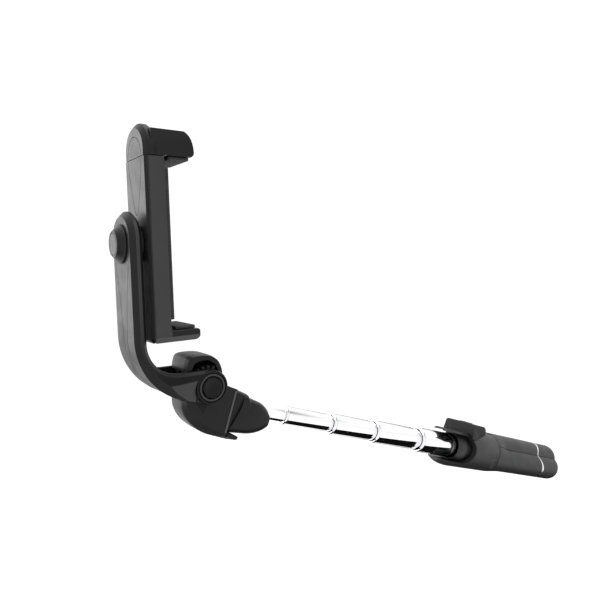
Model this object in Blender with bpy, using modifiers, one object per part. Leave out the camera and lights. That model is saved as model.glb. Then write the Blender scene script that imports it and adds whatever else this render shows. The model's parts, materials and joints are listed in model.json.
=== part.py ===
"""Selfie stick with a swivelling phone clamp, a tilting arm, a telescopic tube and a tripod handle.

Run with: blender --background --python part.py
Metres, +Z up. The origin is the centre of the clamp's back pad, where the phone rests. +X points out of
the pad towards the handle, +Y across the clamp, and +Z along the clamp bar.
"""

from math import acos, asin, cos, pi, radians, sin, sqrt, tan

import bmesh
import bpy
from mathutils import Matrix, Vector

MM = 0.001

# Overall layout
STICK_TILT = radians(19.4)  # the tube slopes down from the head
PIVOT = Vector((16.5, 0.0, -67.4)) * MM  # tilt hinge of the head
AXIS_DROP = 7.8 * MM  # tube axis below the tilt hinge
ROUND = 24  # sides of a turned piece

# Phone clamp
BAR_BACK = -11.0 * MM
BAR_FRONT = -2.0 * MM
BAR_HALF_WIDTH = 12.5 * MM
BAR_TOP = 37.2 * MM
CLAMP_BOTTOM = -44.0 * MM
COVER_THICKNESS = 1.4 * MM
JAW_TOP = 48.9 * MM
JAW_PLATE_TOP = 52.6 * MM
JAW_PLATE_FRONT = -6.6 * MM
JAW_REACH = 11.8 * MM
LOWER_JAW_FACE = -38.8 * MM
UPPER_JAW_FACE = 38.0 * MM
PAD_THICKNESS = 1.6 * MM
ROD_RADIUS = 1.6 * MM
ROD_SPREAD = 6.0 * MM
ROD_X = -6.5 * MM
ROD_FOOT = -18.0 * MM
POCKET_TOP = 30.5 * MM

# Arm
ARM_HALF_WIDTH = 13.0 * MM
ARM_BACK = -35.3 * MM  # from the tilt hinge
ARM_THICKNESS = 5.3 * MM
KNUCKLE_RADIUS = 8.2 * MM
FORK_HALF_GAP = 9.1 * MM
FORK_REACH = 23.0 * MM
CAP_WELL = 2.3 * MM

# Head
HEAD_HALF_WIDTH = 8.7 * MM
AXLE_RADIUS = 2.5 * MM
NECK_START = 17.0 * MM  # along the tube axis from the foot of the tilt hinge
NECK_END = 42.5 * MM

# Telescopic tubes, thinnest first: outer radius, front end, length, both along the tube axis
TUBE_WALL = 0.35 * MM
TUBES = (
    (4.00 * MM, 12.0 * MM, 146.0 * MM),
    (4.95 * MM, 52.2 * MM, 119.0 * MM),
    (5.95 * MM, 86.8 * MM, 119.0 * MM),
    (6.90 * MM, 122.0 * MM, 119.0 * MM),
    (8.10 * MM, 163.5 * MM, 119.5 * MM),
)
RING_LENGTH = 2.2 * MM
RING_STEP = 0.55 * MM
BUSH_LENGTH = 8.0 * MM

# Handle: a round hub, and three lobed legs that fold along the tube
HUB_FRONT = 188.5 * MM
SLEEVE_FRONT = 200.0 * MM
SLEEVE_BACK = 234.7 * MM
HUB_RADIUS = 13.9 * MM
LOBE_CENTRE = 4.7 * MM
LOBE_RADIUS = 9.6 * MM
SLEEVE_RADIUS = 10.2 * MM
SLEEVE_BORE = 8.65 * MM
SLEEVE_NECK_RADIUS = 9.3 * MM  # groove around the sleeve, seen through the hub's notches
SLEEVE_NECK_START = 208.2 * MM
SLEEVE_NECK_END = 216.0 * MM
NOTCH_RADIUS = 9.6 * MM
NOTCH_END = 214.0 * MM
SHELF_HEIGHT = 11.0 * MM  # flat in front of the remote
SHELF_END = 208.4 * MM
LEG_BORE = 8.8 * MM
LEG_PIN_S = 240.0 * MM
LEG_PIN_R = 11.3 * MM
LEG_KNUCKLE = 2.8 * MM
LEG_FACE = 3.1 * MM
HUB_BACK = LEG_PIN_S + LEG_KNUCKLE
LEG_END = 331.0 * MM
SHOULDER_LENGTH = 17.0 * MM
SHOULDER_WAIST = 9.0 * MM
SHOULDER_REACH = 16.0 * MM
TRIM_S = 306.0 * MM
TRIM_CURVE = 13.0 * MM
TRIM_WIDTH = 1.5 * MM
LEG_ANGLES = {"top": pi, "near": -pi / 3, "far": pi / 3}
SEAM = 0.15 * MM

# Remote
REMOTE_S = 215.1 * MM
REMOTE_BASE = 14.6 * MM
REMOTE_HALF_LENGTH = 7.2 * MM
REMOTE_HALF_WIDTH = 13.0 * MM
REMOTE_HEIGHT = 3.5 * MM


# ---------------------------------------------------------------- scene and helpers
def clear_scene():
    for obj in list(bpy.data.objects):
        bpy.data.objects.remove(obj)


def new_collection(name):
    made = bpy.data.collections.new(name)
    bpy.context.scene.collection.children.link(made)
    return made


clear_scene()
PARTS = new_collection("selfie_stick")
CUTTERS = new_collection("cutters")


def finish(name, colour, roughness, metallic=0.0):
    made = bpy.data.materials.new(name)
    made.use_nodes = True
    shader = made.node_tree.nodes["Principled BSDF"]
    shader.inputs["Base Color"].default_value = (*colour, 1.0)
    shader.inputs["Roughness"].default_value = roughness
    shader.inputs["Metallic"].default_value = metallic
    return made


SATIN_BLACK = finish("satin_black", (0.035, 0.035, 0.037), 0.42)
DARK_GLOSS = finish("dark_gloss", (0.012, 0.012, 0.013), 0.2)
RUBBER = finish("rubber", (0.02, 0.02, 0.02), 0.8)
CHROME = finish("chrome", (0.85, 0.85, 0.87), 0.08, 1.0)
STEEL = finish("steel", (0.55, 0.55, 0.57), 0.3, 1.0)
SILVER = finish("silver_trim", (0.75, 0.75, 0.77), 0.25, 1.0)
NYLON = finish("nylon", (0.75, 0.74, 0.7), 0.5)
BLACK_NYLON = finish("black_nylon", (0.02, 0.02, 0.021), 0.55)
BOARD = finish("circuit_board", (0.02, 0.16, 0.07), 0.5)


def empty(name, parent=None, place=(0, 0, 0), turn=(0, 0, 0)):
    made = bpy.data.objects.new(name, None)
    made.empty_display_size = 0.01
    made.location = place
    made.rotation_euler = turn
    made.parent = parent
    PARTS.objects.link(made)
    return made


def keep(obj, parent, material, smooth=None):
    """Put a finished sub-part in its frame, with its material and shading."""
    for held_by in list(obj.users_collection):
        held_by.objects.unlink(obj)
    PARTS.objects.link(obj)
    obj.parent = parent
    obj.data.materials.clear()
    obj.data.materials.append(material)
    if smooth:
        obj.data.shade_smooth()
        obj.data.set_sharp_from_angle(angle=smooth)
    return obj


def as_cutter(obj, parent):
    for held_by in list(obj.users_collection):
        held_by.objects.unlink(obj)
    CUTTERS.objects.link(obj)
    obj.parent = parent
    obj.hide_render = True
    obj.display_type = "WIRE"
    return obj


def boolean(target, tool, operation="DIFFERENCE"):
    step = target.modifiers.new(operation.lower(), "BOOLEAN")
    step.operation = operation
    step.solver = "EXACT"
    step.object = tool


def bevel(obj, width, segments=1, angle=radians(40)):
    step = obj.modifiers.new("edges", "BEVEL")
    step.width = width
    step.segments = segments
    step.limit_method = "ANGLE"
    step.angle_limit = angle
    step.use_clamp_overlap = True


def mesh_object(name, shape):
    mesh = bpy.data.meshes.new(name)
    shape.to_mesh(mesh)
    shape.free()
    made = bpy.data.objects.new(name, mesh)
    bpy.context.scene.collection.objects.link(made)
    return made


def block(name, low, high):
    """Box between two corners."""
    low, high = Vector(low), Vector(high)
    shape = bmesh.new()
    bmesh.ops.create_cube(shape, size=1.0)
    bmesh.ops.scale(shape, vec=high - low, verts=shape.verts)
    bmesh.ops.translate(shape, vec=(low + high) / 2, verts=shape.verts)
    return mesh_object(name, shape)


AXIS_TURN = {
    "x": Matrix.Rotation(pi / 2, 4, "Y"),
    "y": Matrix.Rotation(-pi / 2, 4, "X"),
    "z": Matrix.Identity(4),
}


def rod(name, radius, start, end, axis="z", centre=(0, 0, 0), sides=ROUND):
    """Cylinder along an axis, from start to end on that axis."""
    shape = bmesh.new()
    bmesh.ops.create_cone(
        shape, cap_ends=True, segments=sides, radius1=radius, radius2=radius, depth=end - start
    )
    bmesh.ops.translate(shape, vec=(0, 0, (start + end) / 2), verts=shape.verts)
    bmesh.ops.transform(shape, matrix=AXIS_TURN[axis], verts=shape.verts)
    bmesh.ops.translate(shape, vec=centre, verts=shape.verts)
    return mesh_object(name, shape)


def turned(name, profile, sides=ROUND, turn=None):
    """Turned solid about Z. The profile of (radius, height) runs down the outside from the top."""
    shape = bmesh.new()
    verts = [shape.verts.new((r, 0, z)) for r, z in profile]
    for first, second in zip(verts, verts[1:]):
        shape.edges.new((first, second))
    if profile[0][0] > 0:
        shape.edges.new((verts[-1], verts[0]))
    made = mesh_object(name, shape)
    step = made.modifiers.new("turn", "SCREW")
    step.axis = "Z"
    step.angle = 2 * pi
    step.steps = sides
    step.render_steps = sides
    step.use_merge_vertices = True
    step.merge_threshold = 0.00001
    if turn is not None:
        made = baked(made)
        made.data.transform(turn)
    return made


def baked(obj):
    """Object whose modifiers, or curve, have become its mesh."""
    bpy.context.view_layer.update()
    ready = obj.evaluated_get(bpy.context.evaluated_depsgraph_get())
    mesh = bpy.data.meshes.new_from_object(ready)
    shape = bmesh.new()
    shape.from_mesh(mesh)
    bmesh.ops.remove_doubles(shape, verts=shape.verts, dist=0.000002)
    bmesh.ops.recalc_face_normals(shape, faces=shape.faces)
    shape.to_mesh(mesh)
    shape.free()
    name = obj.name
    place = obj.matrix_world.copy()
    bpy.data.objects.remove(obj)
    made = bpy.data.objects.new(name, mesh)
    made.matrix_world = place
    bpy.context.scene.collection.objects.link(made)
    return made


def prism(name, outline, start, end, axis="z"):
    """Flat outline pushed along an axis. The outline is (x, y), (x, z) or (y, z) for axis z, y or x."""
    curve = bpy.data.curves.new(name, "CURVE")
    curve.dimensions = "2D"
    curve.fill_mode = "BOTH"
    curve.extrude = (end - start) / 2
    spline = curve.splines.new("POLY")
    spline.points.add(len(outline) - 1)
    for point, (u, v) in zip(spline.points, outline):
        point.co = (u, v, 0, 1)
    spline.use_cyclic_u = True
    flat = bpy.data.objects.new(name, curve)
    bpy.context.scene.collection.objects.link(flat)
    made = baked(flat)
    made.data.transform(Matrix.Translation((0, 0, (start + end) / 2)))
    stand = {
        "z": Matrix.Identity(4),
        "y": Matrix(((1, 0, 0, 0), (0, 0, 1, 0), (0, 1, 0, 0), (0, 0, 0, 1))),
        "x": Matrix(((0, 0, 1, 0), (1, 0, 0, 0), (0, 1, 0, 0), (0, 0, 0, 1))),
    }
    made.data.transform(stand[axis])
    if axis == "y":
        made.data.flip_normals()
    return made


def arc(centre, radius, start, end, steps):
    """Points on a circle, angles in degrees, both ends included."""
    turns = [radians(start + (end - start) * i / steps) for i in range(steps + 1)]
    return [(centre[0] + radius * cos(a), centre[1] + radius * sin(a)) for a in turns]


def scaled(points):
    return [(u * MM, v * MM) for u, v in points]


# ---------------------------------------------------------------- frames on the joint axes
ALONG = Vector((cos(STICK_TILT), 0, -sin(STICK_TILT)))
ACROSS = Vector((sin(STICK_TILT), 0, cos(STICK_TILT)))
# In the stick frame +Z runs along the tube to the feet, -X is the top side and +Y the far side.
handle_frame = empty("handle_frame", None, PIVOT - AXIS_DROP * ACROSS, (0, pi / 2 + STICK_TILT, 0))
tube_frames = []
holder = handle_frame
for number in (5, 4, 3, 2, 1):
    holder = empty(f"tube_{number}_frame", holder)
    tube_frames.insert(0, holder)
leg_frames = {
    side: empty(
        f"leg_{side}_frame",
        handle_frame,
        (LEG_PIN_R * cos(angle), LEG_PIN_R * sin(angle), LEG_PIN_S),
        (0, 0, angle),
    )
    for side, angle in LEG_ANGLES.items()
}
remote_frame = empty("remote_frame", handle_frame, (-REMOTE_BASE, 0, REMOTE_S), (0, -pi / 2, 0))
# The head and tilt frames stand on the tilt hinge and undo the stick's slope.
HINGE_PLACE, HINGE_TURN = (-AXIS_DROP, 0, 0), (0, -pi / 2 - STICK_TILT, 0)
head_frame = empty("head_frame", tube_frames[0], HINGE_PLACE, HINGE_TURN)
tilt_frame = empty("tilt_frame", tube_frames[0], HINGE_PLACE, HINGE_TURN)
arm_row_frame = empty("arm_row_frame", tilt_frame, -PIVOT)
clamp_frame = empty("clamp_frame", tilt_frame, -PIVOT)
jaw_frame = empty("jaw_frame", clamp_frame)


# ---------------------------------------------------------------- phone clamp
def lower_jaw_outline():
    body_back = BAR_BACK + COVER_THICKNESS + 0.2 * MM
    return [
        (body_back, BAR_TOP),
        (BAR_FRONT, BAR_TOP),
        (BAR_FRONT, LOWER_JAW_FACE),
        (JAW_REACH - 1.2 * MM, LOWER_JAW_FACE),
        (JAW_REACH, LOWER_JAW_FACE - 1.2 * MM),
        (JAW_REACH, CLAMP_BOTTOM + 2.4 * MM),
        (JAW_REACH - 2.4 * MM, CLAMP_BOTTOM),
        (body_back, CLAMP_BOTTOM),
    ]


def make_clamp():
    body = prism("clamp_body", lower_jaw_outline(), -BAR_HALF_WIDTH, BAR_HALF_WIDTH, "y")
    bevel(body, 1.2 * MM)
    pocket = block(
        "clamp_pocket", (-14 * MM, -9.4 * MM, -36 * MM), (-3.6 * MM, 9.4 * MM, POCKET_TOP)
    )
    boolean(body, as_cutter(pocket, clamp_frame))
    for side in (-1, 1):
        bore = rod(
            f"rod_bore_{side}", ROD_RADIUS + SEAM, POCKET_TOP - MM, BAR_TOP + MM,
            centre=(ROD_X, side * ROD_SPREAD, 0), sides=20,
        )
        boolean(body, as_cutter(bore, clamp_frame))
    keep(body, clamp_frame, SATIN_BLACK)

    cover = block(
        "clamp_cover",
        (BAR_BACK, -BAR_HALF_WIDTH, CLAMP_BOTTOM),
        (BAR_BACK + COVER_THICKNESS, BAR_HALF_WIDTH, BAR_TOP),
    )
    bevel(cover, 0.65 * MM)
    hole = rod("cover_hole", AXLE_RADIUS + 0.3 * MM, -16 * MM, -6 * MM, "x", sides=24)
    boolean(cover, as_cutter(hole, clamp_frame))
    keep(cover, clamp_frame, SATIN_BLACK)

    seat = block(
        "seat_pad",
        (BAR_FRONT + SEAM, -BAR_HALF_WIDTH + 1.4 * MM, -34 * MM),
        (0, BAR_HALF_WIDTH - 1.4 * MM, 33 * MM),
    )
    bevel(seat, 0.6 * MM, 2)
    keep(seat, clamp_frame, RUBBER)
    for name, low, high, frame in (
        ("lower_jaw_pad", LOWER_JAW_FACE + SEAM, LOWER_JAW_FACE + PAD_THICKNESS, clamp_frame),
        ("upper_jaw_pad", UPPER_JAW_FACE - PAD_THICKNESS, UPPER_JAW_FACE - SEAM, jaw_frame),
    ):
        pad = block(
            name,
            (0.4 * MM, -BAR_HALF_WIDTH + 2 * MM, low),
            (JAW_REACH - 1.8 * MM, BAR_HALF_WIDTH - 2 * MM, high),
        )
        bevel(pad, 0.5 * MM, 2)
        keep(pad, frame, RUBBER)

    make_upper_jaw()
    for side, word in ((-1, "near"), (1, "far")):
        make_guide(side * ROD_SPREAD, word)


def make_upper_jaw():
    """A back plate with an arched top, joined to a lower, chamfered jaw."""
    foot = BAR_TOP + 0.3 * MM
    half = BAR_HALF_WIDTH
    plate_half = half + 0.5 * MM
    plate_rise = JAW_PLATE_TOP - plate_half
    plate_outline = [(-plate_half, foot), (plate_half, foot)]
    plate_outline += arc((0, plate_rise), plate_half, 0, 180, 12)
    jaw = prism("upper_jaw", plate_outline, BAR_BACK, JAW_PLATE_FRONT, "x")
    bevel(jaw, 1.1 * MM)
    side_view = [
        (BAR_BACK + 1.6 * MM, foot),
        (BAR_BACK + 1.6 * MM, JAW_TOP),
        (JAW_REACH - 3.6 * MM, JAW_TOP),
        (JAW_REACH - 1.4 * MM, JAW_TOP - 2.2 * MM),
        (JAW_REACH, JAW_TOP - 6.0 * MM),
        (JAW_REACH, UPPER_JAW_FACE + 1.5 * MM),
        (JAW_REACH - 1.2 * MM, UPPER_JAW_FACE),
        (BAR_FRONT + 0.3 * MM, UPPER_JAW_FACE),
        (BAR_FRONT, foot),
    ]
    beam = prism("jaw_beam", side_view, -half, half, "y")
    bevel(beam, 1.1 * MM)
    boolean(jaw, as_cutter(beam, jaw_frame), "UNION")
    for side in (-1, 1):
        bore = rod(
            f"jaw_bore_{side}", ROD_RADIUS + SEAM, foot - MM, 45 * MM,
            centre=(ROD_X, side * ROD_SPREAD, 0), sides=20,
        )
        boolean(jaw, as_cutter(bore, jaw_frame))
    keep(jaw, jaw_frame, SATIN_BLACK)


def make_guide(y, word):
    """Guide rod fixed in the upper jaw, its end nut, and the spring that pulls the jaw down."""
    guide = rod(f"guide_rod_{word}", ROD_RADIUS, ROD_FOOT, 44.7 * MM, centre=(ROD_X, y, 0), sides=16)
    keep(guide, jaw_frame, STEEL, radians(40))
    nut_top = ROD_FOOT + 3.5 * MM
    inner, outer = ROD_RADIUS + SEAM, 2.6 * MM
    nut = turned(
        f"rod_nut_{word}",
        [(outer, nut_top), (outer, ROD_FOOT + MM), (inner, ROD_FOOT + MM), (inner, nut_top)],
        16,
        Matrix.Translation((ROD_X, y, 0)),
    )
    keep(nut, jaw_frame, STEEL)

    curve = bpy.data.curves.new(f"jaw_spring_{word}", "CURVE")
    curve.dimensions = "3D"
    curve.bevel_depth = 0.3 * MM
    curve.bevel_resolution = 0
    curve.use_fill_caps = True
    coils, per_coil, coil_radius = 7, 8, 2.15 * MM
    low, high = nut_top + 0.5 * MM, POCKET_TOP - 0.5 * MM
    spline = curve.splines.new("POLY")
    count = coils * per_coil
    spline.points.add(count)
    for i, point in enumerate(spline.points):
        turn = 2 * pi * i / per_coil
        height = low + (high - low) * i / count
        point.co = (ROD_X + coil_radius * cos(turn), y + coil_radius * sin(turn), height, 1)
    spring = bpy.data.objects.new(f"jaw_spring_{word}", curve)
    bpy.context.scene.collection.objects.link(spring)
    keep(baked(spring), clamp_frame, STEEL, radians(60))


# ---------------------------------------------------------------- swivel between clamp and arm
def make_swivel():
    turn = AXIS_TURN["x"]
    arm_back = PIVOT.x + ARM_BACK
    arm_front = arm_back + ARM_THICKNESS
    cap_back = arm_back - 3.6 * MM
    cap_profile = [
        (8.6 * MM, arm_back - 0.25 * MM),
        (8.4 * MM, arm_back - 0.8 * MM),
        (5.9 * MM, cap_back + 0.3 * MM),
        (5.5 * MM, cap_back),
        (0, cap_back),
    ]
    bore_end = arm_back - 2.2 * MM
    cap_profile = [(0, bore_end), (2.75 * MM, bore_end), (2.75 * MM, arm_back - 0.25 * MM)] + cap_profile
    keep(turned("swivel_cap", cap_profile, ROUND, turn), clamp_frame, SATIN_BLACK, radians(35))

    shank, head_radius = AXLE_RADIUS, 3.3 * MM
    head_back, head_front = BAR_BACK + 2.0 * MM, BAR_BACK + 5.0 * MM
    bolt = turned(
        "swivel_bolt",
        [
            (0, head_front), (head_radius, head_front), (head_radius, head_back),
            (shank, head_back), (shank, bore_end + 0.2 * MM), (0, bore_end + 0.2 * MM),
        ],
        24,
        turn,
    )
    keep(bolt, clamp_frame, STEEL, radians(35))
    washer = turned(
        "swivel_washer",
        [
            (8.0 * MM, BAR_BACK - 0.2 * MM), (8.0 * MM, arm_front + 0.2 * MM),
            (2.9 * MM, arm_front + 0.2 * MM), (2.9 * MM, BAR_BACK - 0.2 * MM),
        ],
        ROUND,
        turn,
    )
    keep(washer, arm_row_frame, BLACK_NYLON, radians(35))


# ---------------------------------------------------------------- arm
def arm_outline():
    """Side view about the tilt hinge: a flat upright, a bend and a round knuckle."""
    back, front = ARM_BACK / MM, (ARM_BACK + ARM_THICKNESS) / MM
    top = 83.0
    outer_centre, outer_radius = (back + 31.8, 26.0), 31.8
    inner_centre, inner_radius = (front + 15.0, 23.5), 15.0
    knuckle = KNUCKLE_RADIUS / MM
    points = [(front, top), (back, top)]
    points += arc(outer_centre, outer_radius, 180, 247, 9)
    points += arc((0, 0), knuckle, -112, 90, 14)
    points += arc(inner_centre, inner_radius, 268, 180, 9)
    return scaled(points)


def make_arm():
    swivel_height = -PIVOT.z
    arm = prism("arm_shell", arm_outline(), -ARM_HALF_WIDTH, ARM_HALF_WIDTH, "y")
    half = ARM_HALF_WIDTH / MM
    crown_centre = (0, swivel_height / MM + 1.2)
    front_view = [(-half, -20), (half, -20)] + arc(crown_centre, half, 0, 180, 12)
    form = prism("arm_crown", scaled(front_view), -60 * MM, 20 * MM, "x")
    boolean(arm, as_cutter(form, tilt_frame), "INTERSECT")
    bevel(arm, 1.3 * MM)
    gap = rod("fork_gap", FORK_REACH, -FORK_HALF_GAP, FORK_HALF_GAP, "y", sides=40)
    boolean(arm, as_cutter(gap, tilt_frame))
    axle_bore = rod("arm_axle_bore", AXLE_RADIUS + 0.15 * MM, -20 * MM, 20 * MM, "y", sides=24)
    boolean(arm, as_cutter(axle_bore, tilt_frame))
    for side, word in ((-1, "near"), (1, "far")):
        ends = sorted((side * (ARM_HALF_WIDTH - CAP_WELL), side * 20 * MM))
        well = rod(f"cap_well_{word}", 7.0 * MM, *ends, "y")
        boolean(arm, as_cutter(well, tilt_frame))
    swivel_bore = rod(
        "arm_swivel_bore", AXLE_RADIUS + 0.15 * MM, -50 * MM, -20 * MM, "x",
        centre=(0, 0, swivel_height), sides=24,
    )
    boolean(arm, as_cutter(swivel_bore, tilt_frame))
    keep(arm, tilt_frame, SATIN_BLACK)


def make_tilt_hinge():
    """Axle through the fork, with its head and nut under the two end caps."""
    well = ARM_HALF_WIDTH - CAP_WELL
    turn = AXIS_TURN["y"]
    axle = turned(
        "tilt_axle",
        [
            (0, well + 1.5 * MM), (AXLE_RADIUS, well + 1.5 * MM), (AXLE_RADIUS, -well - 0.2 * MM),
            (4.4 * MM, -well - 0.2 * MM), (4.4 * MM, -well - 1.3 * MM), (0, -well - 1.3 * MM),
        ],
        24,
        turn,
    )
    keep(axle, tilt_frame, STEEL, radians(35))
    nut = turned(
        "tilt_nut",
        [
            (4.4 * MM, well + 1.3 * MM), (4.4 * MM, well + 0.2 * MM),
            (AXLE_RADIUS * 1.2, well + 0.2 * MM), (AXLE_RADIUS * 1.2, well + 1.3 * MM),
        ],
        6,
        turn,
    )
    keep(nut, tilt_frame, STEEL)
    for side, word in ((-1, "near"), (1, "far")):
        inner, outer = side * (well + 1.7 * MM), side * (ARM_HALF_WIDTH + 0.3 * MM)
        cap = rod(f"pivot_cap_{word}", 4.9 * MM, *sorted((inner, outer)), "y")
        bevel(cap, 0.3 * MM)
        keep(cap, tilt_frame, DARK_GLOSS, radians(35))
        low, high = sorted((side * (well + 0.2 * MM), side * (ARM_HALF_WIDTH + 0.1 * MM)))
        ring = turned(
            f"pivot_ring_{word}",
            [(6.6 * MM, high), (6.6 * MM, low), (5.4 * MM, low), (5.4 * MM, high)],
            ROUND,
            turn,
        )
        keep(ring, tilt_frame, SATIN_BLACK, radians(35))


# ---------------------------------------------------------------- head
def from_stick(s, v):
    """Point on the middle plane, along and above the tube axis, seen from the tilt hinge, in mm."""
    drop = AXIS_DROP / MM
    return (
        s * cos(STICK_TILT) + (v - drop) * sin(STICK_TILT),
        -s * sin(STICK_TILT) + (v - drop) * cos(STICK_TILT),
    )


def head_outline():
    """Side view about the tilt hinge: the hood, the neck face and the round underside."""
    neck = NECK_START / MM
    hood = [(-11.2, 8.3), (-9.2, 12.0), (-7.2, 14.2), (-3.0, 15.0), (1.6, 14.4), (5.2, 12.0)]
    hood += [(7.3, 8.2), (8.0, 4.0)]
    neck_face = [from_stick(7.0, 10.3), from_stick(neck, 8.9), from_stick(neck, -13.1)]
    lip = [from_stick(24.2, -13.3), from_stick(23.0, -14.6), from_stick(15.0, -15.2)]
    under = [from_stick(7.5, -15.0), from_stick(1.0, -13.3), from_stick(-4.5, -10.4)]
    under += [from_stick(-8.5, -6.5), (-13.4, -5.6), (-8.6, -3.6), (-9.2, 6.6)]
    return scaled(hood + neck_face + lip + under)


def head_hollow():
    """Gap between the hinge barrel and the hood, open towards the arm."""
    barrel = arc((0, 0), 8.1, 40, 205, 14)
    hood_inside = [(-9.2, 6.7), (-7.5, 10.4), (-6.0, 12.0), (-2.8, 12.7), (1.0, 12.2), (3.9, 10.2)]
    return scaled([(-22.0, 16.0)] + hood_inside + barrel + [(-22.0, -9.6)])


def make_head():
    screw_places = (from_stick(2.0, -9.5), from_stick(12.5, -10.5))
    for side, word in ((-1, "near"), (1, "far")):
        ends = sorted((side * 0.1 * MM, side * HEAD_HALF_WIDTH))
        shell = prism(f"head_shell_{word}", head_outline(), *ends, "y")
        hollow_start = 3 * MM if side > 0 else -20 * MM
        hollow = prism(f"head_hollow_{word}", head_hollow(), hollow_start, 20 * MM, "y")
        boolean(shell, as_cutter(hollow, head_frame))
        bore = rod(f"head_axle_bore_{word}", AXLE_RADIUS + 0.15 * MM, -20 * MM, 20 * MM, "y", sides=24)
        boolean(shell, as_cutter(bore, head_frame))
        seat_ends = sorted((side * (HEAD_HALF_WIDTH - 0.7 * MM), side * 20 * MM))
        seat = rod(f"washer_seat_{word}", 7.5 * MM, *seat_ends, "y")
        boolean(shell, as_cutter(seat, head_frame))
        socket = rod(f"tube_socket_{word}", TUBES[0][0] + SEAM, 11 * MM, 60 * MM, sides=ROUND)
        boolean(shell, as_cutter(socket, tube_frames[0]))
        for number, (x, z) in enumerate(screw_places, 1):
            hole = rod(
                f"screw_hole_{word}_{number}", 1.4 * MM, -6 * MM, 20 * MM, "y",
                centre=(x * MM, 0, z * MM), sides=16,
            )
            boolean(shell, as_cutter(hole, head_frame))
            if side > 0:
                sink = rod(
                    f"screw_sink_{number}", 2.6 * MM, HEAD_HALF_WIDTH - 1.6 * MM, 20 * MM, "y",
                    centre=(x * MM, 0, z * MM), sides=16,
                )
                boolean(shell, as_cutter(sink, head_frame))
        keep(shell, head_frame, SATIN_BLACK)

    for number, (x, z) in enumerate(screw_places, 1):
        place = Matrix.Translation((x * MM, 0, z * MM)) @ AXIS_TURN["y"]
        top = HEAD_HALF_WIDTH - 0.2 * MM
        neck = top - 1.2 * MM
        screw = turned(
            f"head_screw_{number}",
            [
                (0, top), (2.4 * MM, top), (2.4 * MM, neck),
                (1.2 * MM, neck), (1.2 * MM, -5 * MM), (0, -5 * MM),
            ],
            16,
            place,
        )
        keep(screw, head_frame, STEEL, radians(35))
    for side, word in ((-1, "near"), (1, "far")):
        low, high = sorted((side * (HEAD_HALF_WIDTH - 0.5 * MM), side * (FORK_HALF_GAP - 0.15 * MM)))
        washer = turned(
            f"friction_washer_{word}",
            [(7.0 * MM, high), (7.0 * MM, low), (2.8 * MM, low), (2.8 * MM, high)],
            ROUND,
            AXIS_TURN["y"],
        )
        keep(washer, head_frame, BLACK_NYLON, radians(35))
    make_neck()


def make_neck():
    start = NECK_START / MM + 0.3
    outline = [
        (start, 8.6), (25.8, 7.4), (26.1, 5.6), (30.0, 5.0), (35.0, 3.9), (39.5, 1.5), (42.0, -2.3),
        (42.5, -6.0), (40.3, -9.0), (36.0, -11.2), (25.4, -12.9), (start, -12.9),
    ]
    neck = prism("neck_socket", scaled([from_stick(s, v) for s, v in outline]), -8.2 * MM, 8.2 * MM, "y")
    bevel(neck, 2.0 * MM, 2)
    bore = rod("neck_bore", TUBES[0][0] + SEAM, 10 * MM, 60 * MM)
    boolean(neck, as_cutter(bore, tube_frames[0]))
    keep(neck, head_frame, SATIN_BLACK)


# ---------------------------------------------------------------- telescopic tubes
def make_tubes():
    for number, (radius, front, length) in enumerate(TUBES, 1):
        inner = radius - TUBE_WALL
        back = front + length
        if number == 1:
            profile = [(radius, back), (radius, front), (inner, front), (inner, back)]
        else:
            lip = TUBES[number - 2][0] + 0.12 * MM
            bead = radius + RING_STEP
            shoulder = front + RING_LENGTH
            profile = [
                (radius, back), (radius, shoulder + 0.4 * MM), (bead, shoulder), (bead, front + 0.5 * MM),
                (bead - 0.4 * MM, front), (lip, front), (lip, front + 1.0 * MM), (inner, front + 1.4 * MM),
                (inner, back),
            ]
        keep(turned(f"tube_{number}", profile), tube_frames[number - 1], CHROME, radians(40))

        room = TUBES[number][0] - TUBE_WALL if number < len(TUBES) else SLEEVE_BORE
        outside, inside = room - 0.12 * MM, radius + 0.05 * MM
        bush = turned(
            f"slide_bush_{number}",
            [(outside, back), (outside, back - BUSH_LENGTH), (inside, back - BUSH_LENGTH), (inside, back)],
        )
        keep(bush, tube_frames[number - 1], NYLON, radians(40))


# ---------------------------------------------------------------- handle hub
def lobe_outline(half_angle, inner_radius):
    """One third of the handle's section in its leg's frame: x outwards from the tube axis, y around."""
    edge_radius = LOBE_CENTRE * cos(half_angle) + sqrt(
        LOBE_RADIUS**2 - (LOBE_CENTRE * sin(half_angle)) ** 2
    )
    corner = Vector((edge_radius * cos(half_angle), edge_radius * sin(half_angle)))
    reach = acos((corner.x - LOBE_CENTRE) / LOBE_RADIUS) * 180 / pi
    points = arc((LOBE_CENTRE, 0), LOBE_RADIUS, -reach, reach, 10)
    if inner_radius > 0:
        points += arc((0, 0), inner_radius, half_angle * 180 / pi, -half_angle * 180 / pi, 8)
    else:
        points.append((0.6 * MM, 0))
    return points


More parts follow.
